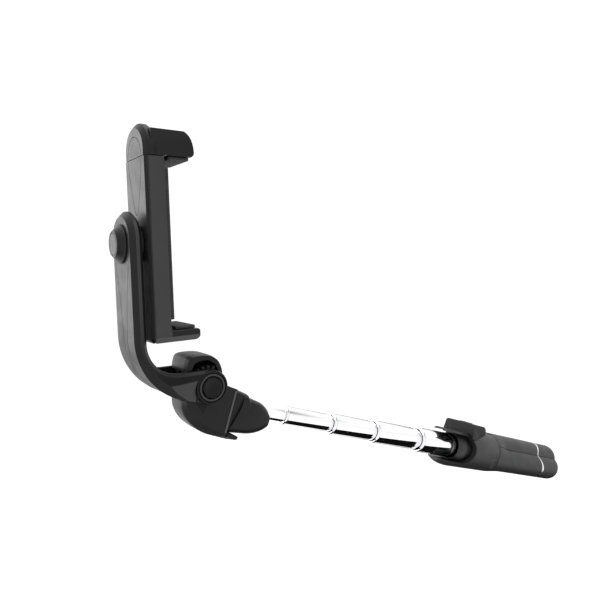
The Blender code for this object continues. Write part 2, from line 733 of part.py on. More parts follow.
def make_hub():
    hub = turned(
        "hub_body",
        [
            (0, HUB_BACK), (HUB_RADIUS, HUB_BACK), (HUB_RADIUS, HUB_FRONT + 11 * MM),
            (HUB_RADIUS - 0.5 * MM, HUB_FRONT + 5.5 * MM), (HUB_RADIUS - 1.4 * MM, HUB_FRONT + 2 * MM),
            (HUB_RADIUS - 3.0 * MM, HUB_FRONT), (0, HUB_FRONT),
        ],
        48,
        Matrix.Identity(4),
    )
    bore = rod("hub_bore", SLEEVE_RADIUS + 0.2 * MM, 150 * MM, SLEEVE_BACK + 0.3 * MM)
    boolean(hub, as_cutter(bore, handle_frame))
    rear = rod("hub_rear_bore", LEG_BORE, 150 * MM, 260 * MM)
    boolean(hub, as_cutter(rear, handle_frame))
    shelf = block("remote_shelf", (-20 * MM, -20 * MM, 150 * MM), (-SHELF_HEIGHT, 20 * MM, SHELF_END))
    boolean(hub, as_cutter(shelf, handle_frame))
    room = LEG_KNUCKLE + 0.3 * MM
    round_edge = [(6 * MM, 1.4 * MM), (6 * MM, 6 * MM), (0.1 * MM, 6 * MM)]
    round_edge += arc((0, 0), LEG_KNUCKLE + 0.2 * MM, 88, 28, 6)
    for side, frame in leg_frames.items():
        edge = prism(f"leg_swing_{side}", round_edge, -9 * MM, 9 * MM, "y")
        boolean(hub, as_cutter(edge, frame))
        slot = rod(f"tongue_slot_{side}", room, -3.3 * MM, 3.3 * MM, "y")
        boolean(hub, as_cutter(slot, frame))
        mouth = block(
            f"tongue_mouth_{side}", (-room - 2 * MM, -3.25 * MM, 0), (6 * MM, 3.25 * MM, 6 * MM)
        )
        boolean(hub, as_cutter(mouth, frame))
        pin_bore = rod(f"pin_bore_{side}", 0.95 * MM, -6.0 * MM, 6.0 * MM, "y", sides=12)
        boolean(hub, as_cutter(pin_bore, frame))
    notch_view = [(NOTCH_RADIUS, 150 * MM)]
    notch_view += arc((0, NOTCH_END - NOTCH_RADIUS), NOTCH_RADIUS, 0, 180, 12)
    notch_view.append((-NOTCH_RADIUS, 150 * MM))
    for word, turn in (("near", -pi / 2), ("far", pi / 2)):
        notch = prism(f"hub_notch_{word}", notch_view, 2 * MM, 30 * MM, "x")
        notch.rotation_euler = (0, 0, turn)
        boolean(hub, as_cutter(notch, handle_frame))
    pocket = block(
        "remote_pocket", (-6.3 * MM, -7.9 * MM, -3.0 * MM), (6.3 * MM, 7.9 * MM, 10 * MM)
    )
    boolean(hub, as_cutter(pocket, remote_frame))
    keep(hub, handle_frame, SATIN_BLACK)

    sleeve = turned(
        "hub_sleeve",
        [
            (SLEEVE_RADIUS, SLEEVE_BACK), (SLEEVE_RADIUS, SLEEVE_NECK_END),
            (SLEEVE_NECK_RADIUS, SLEEVE_NECK_END), (SLEEVE_NECK_RADIUS, SLEEVE_NECK_START),
            (SLEEVE_RADIUS, SLEEVE_NECK_START), (SLEEVE_RADIUS, SLEEVE_FRONT + 3 * MM),
            (SLEEVE_BORE + 0.5 * MM, SLEEVE_FRONT), (SLEEVE_BORE, SLEEVE_FRONT), (SLEEVE_BORE, SLEEVE_BACK),
        ],
    )
    keep(sleeve, handle_frame, DARK_GLOSS, radians(35))
    for side, frame in leg_frames.items():
        pin = rod(f"leg_pin_{side}", 0.8 * MM, -5.8 * MM, 5.8 * MM, "y", sides=12)
        keep(pin, frame, STEEL, radians(40))
        pin.parent = handle_frame
        pin.matrix_local = frame.matrix_basis


# ---------------------------------------------------------------- tripod legs
def trim_zone(name, start, end, parent):
    """Cutter past a bowed line across the leg. Start and end are offsets from the trim's near edge."""
    centre = TRIM_S - LEG_PIN_S - TRIM_CURVE
    near, far = TRIM_CURVE + start, TRIM_CURVE + (end or 0)
    bow = asin(12.4 * MM / TRIM_CURVE) * 180 / pi
    front = arc((0, centre), near, 90 + bow, 90 - bow, 12)
    if end is None:
        back = [(14 * MM, 0.4), (-14 * MM, 0.4)]
    else:
        back = arc((0, centre), far, 90 - bow, 90 + bow, 12)
    tool = prism(name, front + back, -30 * MM, 30 * MM, "x")
    return as_cutter(tool, parent)


def make_legs():
    sector = pi / 3 - 0.018
    end = LEG_END - LEG_PIN_S
    edge = sector - 0.006
    flank = SHOULDER_WAIST * tan(edge)
    wedge = [
        (0.6 * MM, 0),
        (SHOULDER_WAIST, -flank),
        (SHOULDER_REACH, -flank),
        (SHOULDER_REACH, flank),
        (SHOULDER_WAIST, flank),
    ]
    for side, frame in leg_frames.items():
        shift = Matrix.Translation((-LEG_PIN_R, 0, 0))
        bullet = turned(
            f"leg_bullet_{side}",
            [
                (0, end + 5 * MM), (8.6 * MM, end + 5 * MM), (8.6 * MM, end), (11.6 * MM, end - 1.3 * MM),
                (13.4 * MM, end - 4.0 * MM), (14.2 * MM, end - 8 * MM), (18 * MM, end - 16 * MM),
                (18 * MM, -20 * MM), (0, -20 * MM),
            ],
        )
        bullet = baked(bullet)
        bullet.data.transform(shift)
        as_cutter(bullet, frame)

        leg = prism(f"leg_{side}", lobe_outline(sector, LEG_BORE), LEG_FACE, end)
        leg.data.transform(shift)
        shoulder = prism(f"shoulder_{side}", wedge, LEG_FACE + 0.02 * MM, LEG_FACE + SHOULDER_LENGTH)
        shoulder.data.transform(shift)
        fade = baked(turned(
            f"shoulder_fade_{side}",
            [
                (0, LEG_FACE + 30 * MM), (LEG_BORE + 0.4 * MM, LEG_FACE + 30 * MM),
                (LOBE_CENTRE + 5.8 * MM, LEG_FACE + SHOULDER_LENGTH * 0.8),
                (HUB_RADIUS - 1.1 * MM, LEG_FACE + SHOULDER_LENGTH * 0.4),
                (HUB_RADIUS, LEG_FACE), (HUB_RADIUS, -5 * MM), (0, -5 * MM),
            ],
            48,
        ))
        fade.data.transform(shift)
        boolean(shoulder, as_cutter(fade, frame), "INTERSECT")
        boolean(leg, as_cutter(shoulder, frame), "UNION")
        boolean(leg, trim_zone(f"leg_cut_{side}", -SEAM, None, frame))
        tongue = block(f"tongue_{side}", (-2.4 * MM, -3 * MM, 0), (2.6 * MM, 3 * MM, LEG_FACE + MM))
        boolean(leg, as_cutter(tongue, frame), "UNION")
        knuckle = rod(f"knuckle_{side}", LEG_KNUCKLE, -3 * MM, 3 * MM, "y", sides=16)
        boolean(leg, as_cutter(knuckle, frame), "UNION")
        room = rod(f"leg_room_{side}", LEG_BORE, -20 * MM, end + 20 * MM, centre=(-LEG_PIN_R, 0, 0))
        boolean(leg, as_cutter(room, frame))
        bore = rod(f"leg_pin_bore_{side}", 0.95 * MM, -9 * MM, 9 * MM, "y", sides=12)
        boolean(leg, as_cutter(bore, frame))
        keep(leg, frame, SATIN_BLACK)

        band = prism(f"leg_trim_{side}", lobe_outline(sector, LEG_BORE), LEG_FACE, end)
        band.data.transform(shift)
        boolean(band, trim_zone(f"trim_keep_{side}", 0, TRIM_WIDTH, frame), "INTERSECT")
        keep(band, frame, SILVER)

        foot = prism(f"foot_cap_{side}", lobe_outline(sector, 0), LEG_FACE, end + 3 * MM)
        foot.data.transform(shift)
        boolean(foot, trim_zone(f"foot_keep_{side}", TRIM_WIDTH + SEAM, None, frame), "INTERSECT")
        boolean(foot, bullet, "INTERSECT")
        cavity = rod(
            f"foot_room_{side}", LEG_BORE, -20 * MM, end - 12 * MM, centre=(-LEG_PIN_R, 0, 0)
        )
        boolean(foot, as_cutter(cavity, frame))
        keep(foot, frame, SATIN_BLACK)


# ---------------------------------------------------------------- remote
def make_remote():
    half_length, half_width, top = REMOTE_HALF_LENGTH, REMOTE_HALF_WIDTH, REMOTE_HEIGHT
    side_view = [
        (-half_length, -6.4 * MM), (-0.5 * MM, -6.4 * MM), (half_length, -1.4 * MM),
        (half_length, top), (-half_length, top),
    ]
    upper = prism("remote_case_upper", side_view, -half_width, half_width, "y")
    end_view = [
        (-half_width, -8 * MM), (half_width, -8 * MM), (half_width, -5 * MM),
        (half_width - 1.6 * MM, top + 0.2 * MM), (-half_width + 1.6 * MM, top + 0.2 * MM),
        (-half_width, -5 * MM),
    ]
    taper = prism("remote_taper", end_view, -20 * MM, 20 * MM, "x")
    boolean(upper, as_cutter(taper, remote_frame), "INTERSECT")
    bevel(upper, 0.7 * MM)
    saddle = rod("remote_saddle", 15.3 * MM, -20 * MM, 20 * MM, "x", centre=(0, 0, -REMOTE_BASE))
    boolean(upper, as_cutter(saddle, remote_frame))
    inside = block(
        "remote_inside", (-5.4 * MM, -7.8 * MM, -8 * MM), (5.4 * MM, 7.8 * MM, top - 1.5 * MM)
    )
    boolean(upper, as_cutter(inside, remote_frame))
    opening = block("button_opening", (-2.9 * MM, -4.9 * MM, 0), (2.9 * MM, 4.9 * MM, 10 * MM))
    boolean(upper, as_cutter(opening, remote_frame))
    keep(upper, remote_frame, SATIN_BLACK)

    lower = block("remote_case_lower", (-5.2 * MM, -7.5 * MM, -2.7 * MM), (5.2 * MM, 7.5 * MM, 1.4 * MM))
    tray = block("remote_tray", (-4.6 * MM, -6.9 * MM, -2.0 * MM), (4.6 * MM, 6.9 * MM, 10 * MM))
    boolean(lower, as_cutter(tray, remote_frame))
    keep(lower, remote_frame, SATIN_BLACK)
    battery = rod("remote_battery", 4.4 * MM, -1.85 * MM, -0.65 * MM, sides=28)
    keep(battery, remote_frame, STEEL, radians(40))
    board = block("remote_board", (-4.4 * MM, -6.7 * MM, -0.4 * MM), (4.4 * MM, 6.7 * MM, 0.3 * MM))
    keep(board, remote_frame, BOARD)
    button = block(
        "remote_button", (-2.6 * MM, -4.6 * MM, 1.1 * MM), (2.6 * MM, 4.6 * MM, top + 0.5 * MM)
    )
    bevel(button, 0.6 * MM, 2)
    keep(button, remote_frame, SATIN_BLACK)


make_clamp()
make_swivel()
make_arm()
make_tilt_hinge()
make_head()
make_tubes()
make_hub()
make_legs()
make_remote()
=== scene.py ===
"""Looks of the selfie stick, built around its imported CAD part, in the part's own frame.

Pieces are drawn in millimetres in a local frame. ROW is the part's frame. HINGE stands on the tilt hinge
with the same axes. STICK lies on the tube's axis with +Z towards the feet, -X the top side and +Y the far
side. REMOTE stands on that axis with +X towards the feet, +Y the far side and +Z the way it lifts out.
"""

import json
from math import cos, hypot, pi, radians, sin, sqrt

import bmesh
import bpy
from mathutils import Matrix, Vector

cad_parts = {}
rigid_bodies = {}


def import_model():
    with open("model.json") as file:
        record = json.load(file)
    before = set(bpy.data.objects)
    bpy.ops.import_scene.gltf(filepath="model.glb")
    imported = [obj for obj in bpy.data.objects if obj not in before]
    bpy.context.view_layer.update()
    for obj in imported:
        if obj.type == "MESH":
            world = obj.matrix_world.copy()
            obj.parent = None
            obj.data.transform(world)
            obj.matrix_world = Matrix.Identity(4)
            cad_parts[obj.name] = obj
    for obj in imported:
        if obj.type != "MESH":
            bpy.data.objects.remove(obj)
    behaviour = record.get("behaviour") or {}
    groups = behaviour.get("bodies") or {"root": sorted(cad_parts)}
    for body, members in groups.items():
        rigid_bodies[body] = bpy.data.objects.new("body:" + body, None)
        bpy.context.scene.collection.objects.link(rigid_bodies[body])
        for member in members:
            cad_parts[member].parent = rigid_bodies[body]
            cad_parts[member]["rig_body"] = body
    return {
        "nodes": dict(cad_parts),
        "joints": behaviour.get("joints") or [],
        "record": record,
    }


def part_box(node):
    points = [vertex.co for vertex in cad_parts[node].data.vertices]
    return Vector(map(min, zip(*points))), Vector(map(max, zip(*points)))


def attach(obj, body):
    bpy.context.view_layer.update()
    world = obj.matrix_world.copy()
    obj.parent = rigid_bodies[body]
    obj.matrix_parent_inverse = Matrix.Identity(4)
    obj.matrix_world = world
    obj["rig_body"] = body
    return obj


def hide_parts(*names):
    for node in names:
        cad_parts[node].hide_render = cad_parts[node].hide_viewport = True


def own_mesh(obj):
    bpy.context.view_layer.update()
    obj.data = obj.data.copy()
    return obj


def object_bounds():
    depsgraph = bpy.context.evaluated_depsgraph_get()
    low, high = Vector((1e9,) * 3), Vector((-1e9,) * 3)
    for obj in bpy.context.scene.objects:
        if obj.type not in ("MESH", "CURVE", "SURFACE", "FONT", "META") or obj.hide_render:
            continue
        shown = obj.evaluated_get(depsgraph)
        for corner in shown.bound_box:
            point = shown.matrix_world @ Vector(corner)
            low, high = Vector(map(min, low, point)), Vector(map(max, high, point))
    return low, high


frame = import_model()
CAD_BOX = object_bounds()
MM = 0.001

# ---- frames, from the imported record
JOINTS = {joint["name"]: joint for joint in frame["joints"]}
SLOTS = {part["node"]: part["material_slot"] for part in frame["record"]["subparts"]}
PIVOT = Vector(JOINTS["arm_tilt"]["pos_m"])
ALONG = -Vector(JOINTS["tube_1_slide"]["axis"]).normalized()
FAR = Vector((0, 1, 0))
ABOVE = ALONG.cross(FAR)


def frame_of(x, y, z, origin):
    """Matrix of a local frame from its axes and origin."""
    made = Matrix((x, y, z)).transposed().to_4x4()
    made.translation = origin
    return made


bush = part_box("slide_bush_3")
on_axis = (bush[0] + bush[1]) / 2
FOOT = on_axis + ALONG * (PIVOT - on_axis).dot(ALONG)
ROW = Matrix.Identity(4)
HINGE = Matrix.Translation(PIVOT)
STICK = frame_of(-ABOVE, FAR, ALONG, FOOT)
REMOTE = frame_of(ALONG, FAR, Vector(JOINTS["remote_lift"]["axis"]), FOOT)


def leg_frame(side):
    """Frame on a leg's hinge pin: +X outwards, +Y along the pin, +Z towards the foot."""
    joint = JOINTS[f"leg_{side}_hinge"]
    pin = Vector(joint["axis"]).normalized()
    return frame_of(pin.cross(ALONG), pin, ALONG, Vector(joint["pos_m"]))


def limits(node, place):
    """Lowest and highest corner of a CAD node in a local frame, in mm."""
    back = place.inverted()
    points = [back @ v.co for v in frame["nodes"][node].data.vertices]
    low = Vector([min(p[i] for p in points) for i in range(3)]) / MM
    high = Vector([max(p[i] for p in points) for i in range(3)]) / MM
    return low, high


def middle_of(node, place):
    """Centre of a CAD node's box in a local frame, in mm."""
    low, high = limits(node, place)
    return (low + high) / 2


def between_frames(source, target):
    """Matrix in mm from one local frame to another."""
    made = target.inverted() @ source
    made.translation /= MM
    return made


# ---- outlines
def arc(centre, radius, start, end, steps):
    """Points on a circle, angles in degrees, both ends included."""
    turns = [radians(start + (end - start) * i / steps) for i in range(steps + 1)]
    return [(centre[0] + radius * cos(a), centre[1] + radius * sin(a)) for a in turns]


def eased(points, rounds, keep=()):
    """Corner cutting of a closed outline. Points whose index is in keep stay as corners."""
    fixed = [i in keep for i in range(len(points))]
    for _ in range(rounds):
        made, marks = [], []
        for i, point in enumerate(points):
            if fixed[i]:
                made.append(point)
                marks.append(True)
                continue
            for other in (points[i - 1], points[(i + 1) % len(points)]):
                made.append(tuple(a * 0.75 + b * 0.25 for a, b in zip(point, other)))
                marks.append(False)
        points, fixed = made, marks
    return points


def inset(points, share):
    """Outline of (x, y, amount) moved inwards by its own amounts times a share."""
    area = sum(p[0] * q[1] - q[0] * p[1] for p, q in zip(points, points[1:] + points[:1]))
    sense = 1 if area > 0 else -1
    made = []
    for i, (x, y, amount) in enumerate(points):
        before, after = points[i - 1], points[(i + 1) % len(points)]
        run = Vector((after[0] - before[0], after[1] - before[1]))
        normal = Vector((-run.y, run.x)).normalized() * sense
        made.append((x + normal.x * amount * share, y + normal.y * amount * share))
    return made


def ribbon(line, width):
    """Outline of a thin strip along a line of 2-D points."""
    sides = ([], [])
    for i, point in enumerate(line):
        run = Vector(line[min(i + 1, len(line) - 1)]) - Vector(line[max(i - 1, 0)])
        normal = run.orthogonal().normalized() * width / 2
        sides[0].append((point[0] + normal.x, point[1] + normal.y))
        sides[1].append((point[0] - normal.x, point[1] - normal.y))
    return sides[0] + sides[1][::-1]


def curved(points, steps=8):
    """Smooth open line through 2-D points."""
    def between(t, p, q, r, w):
        square, cube = 2 * p - 5 * q + 4 * r - w, 3 * q - p - 3 * r + w
        return 0.5 * (2 * q + (r - p) * t + square * t**2 + cube * t**3)

    made = []
    for i in range(len(points) - 1):
        near = [points[min(max(j, 0), len(points) - 1)] for j in range(i - 1, i + 3)]
        for j in range(steps):
            made.append(tuple(between(j / steps, *values) for values in zip(*near)))
    return made + [tuple(points[-1])]


def superellipse(half_x, half_y, power, count):
    """Rounded rectangle between an ellipse (power 2) and a rectangle (high power)."""
    points = []
    for i in range(count):
        turn = 2 * pi * i / count
        c, s = cos(turn), sin(turn)
        size = (abs(c) ** power + abs(s) ** power) ** (-1 / power)
        points.append((half_x * c * size, half_y * s * size))
    return points


def read_off(line, at):
    """Second coordinate of a line at a first coordinate. The line's points all run one way."""
    sense = 1 if line[-1][0] > line[0][0] else -1
    for (start, first), (end, second) in zip(line, line[1:]):
        if (end - at) * sense >= 0:
            return first + (second - first) * (at - start) / (end - start)
    return line[-1][1]


def from_stick(s, v):
    """Point on the middle plane in HINGE, from mm along and above the tube's axis."""
    point = FOOT + ALONG * s * MM + ABOVE * v * MM - PIVOT
    return (point.x / MM, point.z / MM)


def span(side, inner, outer):
    """Two distances from the middle plane on one side of it, as Y values, lowest first."""
    return sorted((side * inner, side * outer))


# ---- bodies
AXES = {
    "z": Matrix.Identity(4),
    "y": Matrix(((1, 0, 0, 0), (0, 0, 1, 0), (0, 1, 0, 0), (0, 0, 0, 1))),
    "x": Matrix(((0, 0, 1, 0), (1, 0, 0, 0), (0, 1, 0, 0), (0, 0, 0, 1))),
}
SHARP_TURN = 30
WELD_GAP = 0.002


def outward(shape):
    """Turn a closed body's faces outwards."""
    bmesh.ops.recalc_face_normals(shape, faces=shape.faces)
    if shape.calc_volume(signed=True) < 0:
        bmesh.ops.reverse_faces(shape, faces=shape.faces)
    return shape


def moved(shape, matrix):
    shape.transform(matrix)
    return outward(shape)


def loft(loops):
    """Closed body through loops of 3-D points that all have the same number of points."""
    shape = bmesh.new()
    rows = [[shape.verts.new(p) for p in loop] for loop in loops]
    for low, high in zip(rows, rows[1:]):
        for i in range(len(low)):
            j = (i + 1) % len(low)
            shape.faces.new((low[i], low[j], high[j], high[i]))
    shape.faces.new(list(reversed(rows[0])))
    shape.faces.new(rows[-1])
    return outward(shape)


def stepped(levels, axis="z"):
    """Body through flat outlines of equal length, as (outline, height along the axis) pairs.

    An outline's points are (x, y), (x, z) or (y, z) for the axis z, y or x.
    """
    return moved(loft([[(u, v, w) for u, v in outline] for outline, w in levels]), AXES[axis])


def bevelled(shape, edges, width, segments):
    bmesh.ops.bevel(
        shape, geom=edges, offset=width, segments=segments, profile=0.5, affect="EDGES", clamp_overlap=True
    )
    return shape


def prism(outline, start, end, axis="z", bevel=0.0, segments=2):
    """Flat outline pushed along an axis, with its sharp edges bevelled if asked."""
    shape = stepped([(outline, start), (outline, end)], axis)
    if bevel:
        sharp = [e for e in shape.edges if e.calc_face_angle(0) > radians(SHARP_TURN)]
        bevelled(shape, sharp, bevel, segments)
    return shape


def block(low, high, bevel=0.0, segments=2):
    outline = [(low[0], low[1]), (high[0], low[1]), (high[0], high[1]), (low[0], high[1])]
    return prism(outline, low[2], high[2], "z", bevel, segments)


def lathe(profile, sides=96, axis="z", centre=(0, 0, 0)):
    """Turned body from a closed profile of (radius, height). Points on the axis become poles."""
    shape = bmesh.new()
    turns = [2 * pi * i / sides for i in range(sides)]
    rings = []
    for radius, height in profile:
        if radius:
            rings.append([shape.verts.new((radius * cos(a), radius * sin(a), height)) for a in turns])
        else:
            rings.append([shape.verts.new((0, 0, height))])
    pairs = list(zip(rings, rings[1:]))
    if len(rings[0]) > 1 or len(rings[-1]) > 1:
        pairs.append((rings[-1], rings[0]))
    for low, high in pairs:
        for i in range(sides):
            j = (i + 1) % sides
            corners = [low[i % len(low)], low[j % len(low)], high[j % len(high)], high[i % len(high)]]
            corners = [v for n, v in enumerate(corners) if v not in corners[:n]]
            if len(corners) > 2:
                shape.faces.new(corners)
    return moved(shape, Matrix.Translation(centre) @ AXES[axis])


def side_lathe(profile, side):
    """Turned body on the Y axis, from (radius, distance from the middle plane) on one side of it."""
    return lathe([(r, side * y) for r, y in profile], 96, "y")


def rod(radius, start, end, axis="z", centre=(0, 0, 0), sides=64):
    return lathe([(0, end), (radius, end), (radius, start), (0, start)], sides, axis, centre)


def linked(name, data):
    made = bpy.data.objects.new(name, data)
    bpy.context.scene.collection.objects.link(made)
    return made


def as_object(shape, name):
    mesh = bpy.data.meshes.new(name)
    shape.to_mesh(mesh)
    shape.free()
    return linked(name, mesh)


def cuts(*bodies):
    return [("DIFFERENCE", body) for body in bodies]


def joins(*bodies):
    return [("UNION", body) for body in bodies]


def keeps(*bodies):
    return [("INTERSECT", body) for body in bodies]


def combined(shape, tools):
    """Body after exact Booleans with (operation, body) pairs, one after another."""
    for operation, tool in tools:
        target, helper = as_object(shape, "target"), as_object(tool, "tool")
        step = target.modifiers.new("step", "BOOLEAN")
        step.operation = operation
        step.solver = "EXACT"
        step.object = helper
        shape = bmesh.new()
        shape.from_mesh(target.evaluated_get(bpy.context.evaluated_depsgraph_get()).to_mesh())
        bpy.data.objects.remove(helper)
        bpy.data.objects.remove(target)
        bmesh.ops.remove_doubles(shape, verts=shape.verts, dist=WELD_GAP)
        bmesh.ops.dissolve_degenerate(shape, edges=shape.edges, dist=WELD_GAP)
    return shape


def paint(made, material, chosen):
    """Give the faces chosen by centre (mm) and normal another material."""
    made.data.materials.append(material)
    last = len(made.data.materials) - 1
    for face in made.data.polygons:
        if chosen(face.center / MM, face.normal):
            face.material_index = last


def piece(name, shape, place, node, material, turn=28, edge=0.0):
    """Finish a body in mm as the piece that stands for a CAD node and rides on the node's body."""
    shape.transform(Matrix.Scale(MM, 4))
    made = as_object(shape, name)
    made.matrix_world = place
    if edge:
        step = made.modifiers.new("edge", "BEVEL")
        step.width = edge * MM
        step.segments = 2
        step.limit_method = "ANGLE"
        step.angle_limit = radians(35)
    made.data.shade_smooth()
    made.data.set_sharp_from_angle(angle=radians(turn))
    made.data.materials.append(material)
    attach(made, frame["nodes"][node]["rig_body"])
    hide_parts(node)
    return made


# ---- materials
GRAIN = 3200.0
MIX_FIRST, MIX_SECOND, MIX_COLOUR = 6, 7, 2
WHITE = (1, 1, 1)


def node_tree(name):
    made = bpy.data.materials.new(name)
    made.use_nodes = True
    tree = made.node_tree
    return made, tree, tree.nodes["Principled BSDF"]


def fill(tree, node, inputs):
    """Set a node's inputs: an output is linked to its input, and a colour gets its alpha."""
    for name, value in inputs.items():
        socket = node.inputs[name]
        if isinstance(value, bpy.types.NodeSocket):
            tree.links.new(value, socket)
        elif socket.type == "RGBA":
            socket.default_value = (*value, 1.0)
        else:
            socket.default_value = value
    return node


def added(tree, kind, inputs=None, **settings):
    node = tree.nodes.new("ShaderNode" + kind)
    for name, value in settings.items():
        setattr(node, name, value)
    return fill(tree, node, inputs or {})


def noise(tree, scale, detail=3.0, stretch=(1, 1, 1), distortion=0.0):
    """Noise in object coordinates. The scale is in cycles per metre."""
    place = added(tree, "TexCoord")
    mapping = added(tree, "Mapping", {"Vector": place.outputs["Object"], "Scale": stretch})
    values = {"Scale": scale, "Detail": detail, "Distortion": distortion}
    return added(tree, "TexNoise", {"Vector": mapping.outputs["Vector"], **values}).outputs["Fac"]


def spread(tree, value, low, high, start=0.3, end=0.7):
    """Map a value between start and end onto the span from low to high."""
    values = {"Value": value, "From Min": start, "From Max": end, "To Min": low, "To Max": high}
    return added(tree, "MapRange", values).outputs["Result"]


def blended(tree, share, first, second):
    """Colour between two colours, each a colour or an output."""
    values = {"Factor": share, MIX_FIRST: first, MIX_SECOND: second}
    return added(tree, "Mix", values, data_type="RGBA").outputs[MIX_COLOUR]


def maths(tree, operation, first, second):
    clamp = operation in ("ADD", "MULTIPLY")
    return added(tree, "Math", {0: first, 1: second}, operation=operation, use_clamp=clamp).outputs[0]


def worn_edge(tree, radius, amount):
    """Mask of rubbed edges: where the rounded normal leaves the face normal, broken up by noise."""
    rounded = added(tree, "Bevel", {"Radius": radius}, samples=4)
    face = added(tree, "NewGeometry")
    normals = {0: rounded.outputs["Normal"], 1: face.outputs["Normal"]}
    turned = added(tree, "VectorMath", normals, operation="DOT_PRODUCT")
    mask = spread(tree, turned.outputs["Value"], 1.0, 0.0, 0.80, 0.99)
    patch = spread(tree, noise(tree, 900.0), 0.15, 1.0)
    return maths(tree, "MULTIPLY", maths(tree, "MULTIPLY", mask, patch), amount)


def bumped(tree, shader, height, strength, distance):
    bump = added(tree, "Bump", {"Strength": strength, "Distance": distance, "Height": height})
    fill(tree, shader, {"Normal": bump.outputs["Normal"]})


def times(tone, factor):
    return tuple(t * factor for t in tone)


def moulded(name, tone, rough, specular, grain_depth=0.12, wear=0.5, shade_heights=None):
    """Moulded plastic: fine spark-eroded grain, cloudy tone, handled patches and rubbed edges.

    An optional pair of heights in m paints shade: from the first down to the second the colour and the
    specular level darken, as if less light reached the lower part.
    """
    made, tree, shader = node_tree(name)
    cloud = spread(tree, noise(tree, 45.0, 4.0), 0.0, 1.0)
    speck = spread(tree, noise(tree, GRAIN, 2.0), 0.0, 1.0)
    colour = blended(tree, cloud, times(tone, 0.88), times(tone, 1.12))
    colour = blended(tree, maths(tree, "MULTIPLY", speck, 0.18), colour, times(tone, 1.9))
    edge = worn_edge(tree, 0.00035, wear)
    colour = blended(tree, edge, colour, tuple(t * 2.2 + 0.035 for t in tone))
    handled = spread(tree, noise(tree, 110.0, 5.0, distortion=0.6), rough - 0.05, rough + 0.06)
    rubbed = maths(tree, "SUBTRACT", handled, maths(tree, "MULTIPLY", edge, 0.15))
    fill(tree, shader, {"Base Color": colour, "Roughness": rubbed, "Specular IOR Level": specular})
    # painted shade: colour and specular level fade towards the bottom of the object
    if shade_heights:
        place = added(tree, "TexCoord")
        height = added(tree, "SeparateXYZ", {"Vector": place.outputs["Object"]})
        level = spread(tree, height.outputs["Z"], 0.32, 1.0, shade_heights[1], shade_heights[0])
        shaded_specular = maths(tree, "MULTIPLY", level, specular)
        colour = blended(tree, level, (0, 0, 0), colour)
        fill(tree, shader, {"Specular IOR Level": shaded_specular, "Base Color": colour})
    bumped(tree, shader, noise(tree, GRAIN, 3.0), grain_depth, 0.00006)
    return made


def metal(name, tone, rough, stretch, scale=900.0, depth=0.05, smudge=0.04, painted_rim_shade=0.0):
    """Metal with drawing marks along one way, light smudges, bright edges and, if asked, painted shade at
    grazing angles that darkens its colour and its reflection.
    """
    made, tree, shader = node_tree(name)
    lines = noise(tree, scale, 4.0, stretch)
    cloud = noise(tree, 70.0, 4.0, distortion=0.5)
    colour = blended(tree, spread(tree, lines, 0.0, 1.0), times(tone, 0.94), tone)
    colour = blended(tree, worn_edge(tree, 0.00015, 0.5), colour, (0.95, 0.95, 0.96))
    # painted shade: colour and reflection darken where the surface turns away from the view
    rim = added(tree, "LayerWeight", {"Blend": 0.5})
    turned_away_shade = spread(tree, rim.outputs["Facing"], 0.0, painted_rim_shade, 0.80, 0.97)
    colour = blended(tree, turned_away_shade, colour, (0.05, 0.05, 0.055))
    tint = blended(tree, turned_away_shade, WHITE, (0.1, 0.1, 0.1))
    smudged = spread(tree, cloud, rough, rough + smudge)
    level = maths(tree, "ADD", smudged, spread(tree, lines, 0.0, smudge * 0.5))
    fill(tree, shader, {"Base Color": colour, "Specular Tint": tint, "Metallic": 1.0, "Roughness": level})
    bumped(tree, shader, lines, depth, 0.00002)
    return made


def rubbery(name, tone):
    """Dull rubber with a cloudy tone, dust in its pores and paler rubbed edges."""
    made, tree, shader = node_tree(name)
    cloud = spread(tree, noise(tree, 90.0, 5.0), 0.0, 1.0)
    dust = spread(tree, noise(tree, 1500.0, 3.0), 0.0, 0.35, 0.55, 0.75)
    colour = blended(tree, cloud, times(tone, 0.8), times(tone, 1.25))
    colour = blended(tree, dust, colour, (0.09, 0.09, 0.088))
    colour = blended(tree, worn_edge(tree, 0.0003, 0.35), colour, (0.08, 0.08, 0.08))
    level = spread(tree, noise(tree, 400.0, 4.0), 0.68, 0.88)
    fill(tree, shader, {"Base Color": colour, "Roughness": level, "Specular IOR Level": 0.35})
    bumped(tree, shader, noise(tree, 2600.0, 4.0), 0.35, 0.0001)
    return made


def nylon_like(name):
    """Undyed nylon that lets a little light in."""
    made, tree, shader = node_tree(name)
    cloud = spread(tree, noise(tree, 120.0, 4.0), 0.0, 1.0)
    fill(tree, shader, {
        "Base Color": blended(tree, cloud, (0.66, 0.65, 0.6), (0.78, 0.77, 0.72)),
        "Subsurface Weight": 0.25,
        "Subsurface Radius": (0.001, 0.001, 0.0008),
        "Roughness": spread(tree, noise(tree, 700.0, 3.0), 0.4, 0.6),
    })
    bumped(tree, shader, noise(tree, 1800.0, 3.0), 0.15, 0.00006)
    return made


def board_like(name):
    """Green circuit board with a web of copper lines under its lacquer."""
    made, tree, shader = node_tree(name)
    cells = added(tree, "TexVoronoi", {"Scale": 650.0}, distance="MANHATTAN", feature="F2")
    place = added(tree, "TexCoord")
    fill(tree, cells, {"Vector": place.outputs["Object"]})
    line = spread(tree, cells.outputs["Distance"], 1.0, 0.0, 0.42, 0.5)
    colour = blended(tree, line, (0.012, 0.11, 0.045), (0.05, 0.2, 0.09))
    fill(tree, shader, {"Base Color": colour, "Roughness": spread(tree, noise(tree, 500.0), 0.3, 0.5)})
    bumped(tree, shader, line, 0.3, 0.00005)
    return made


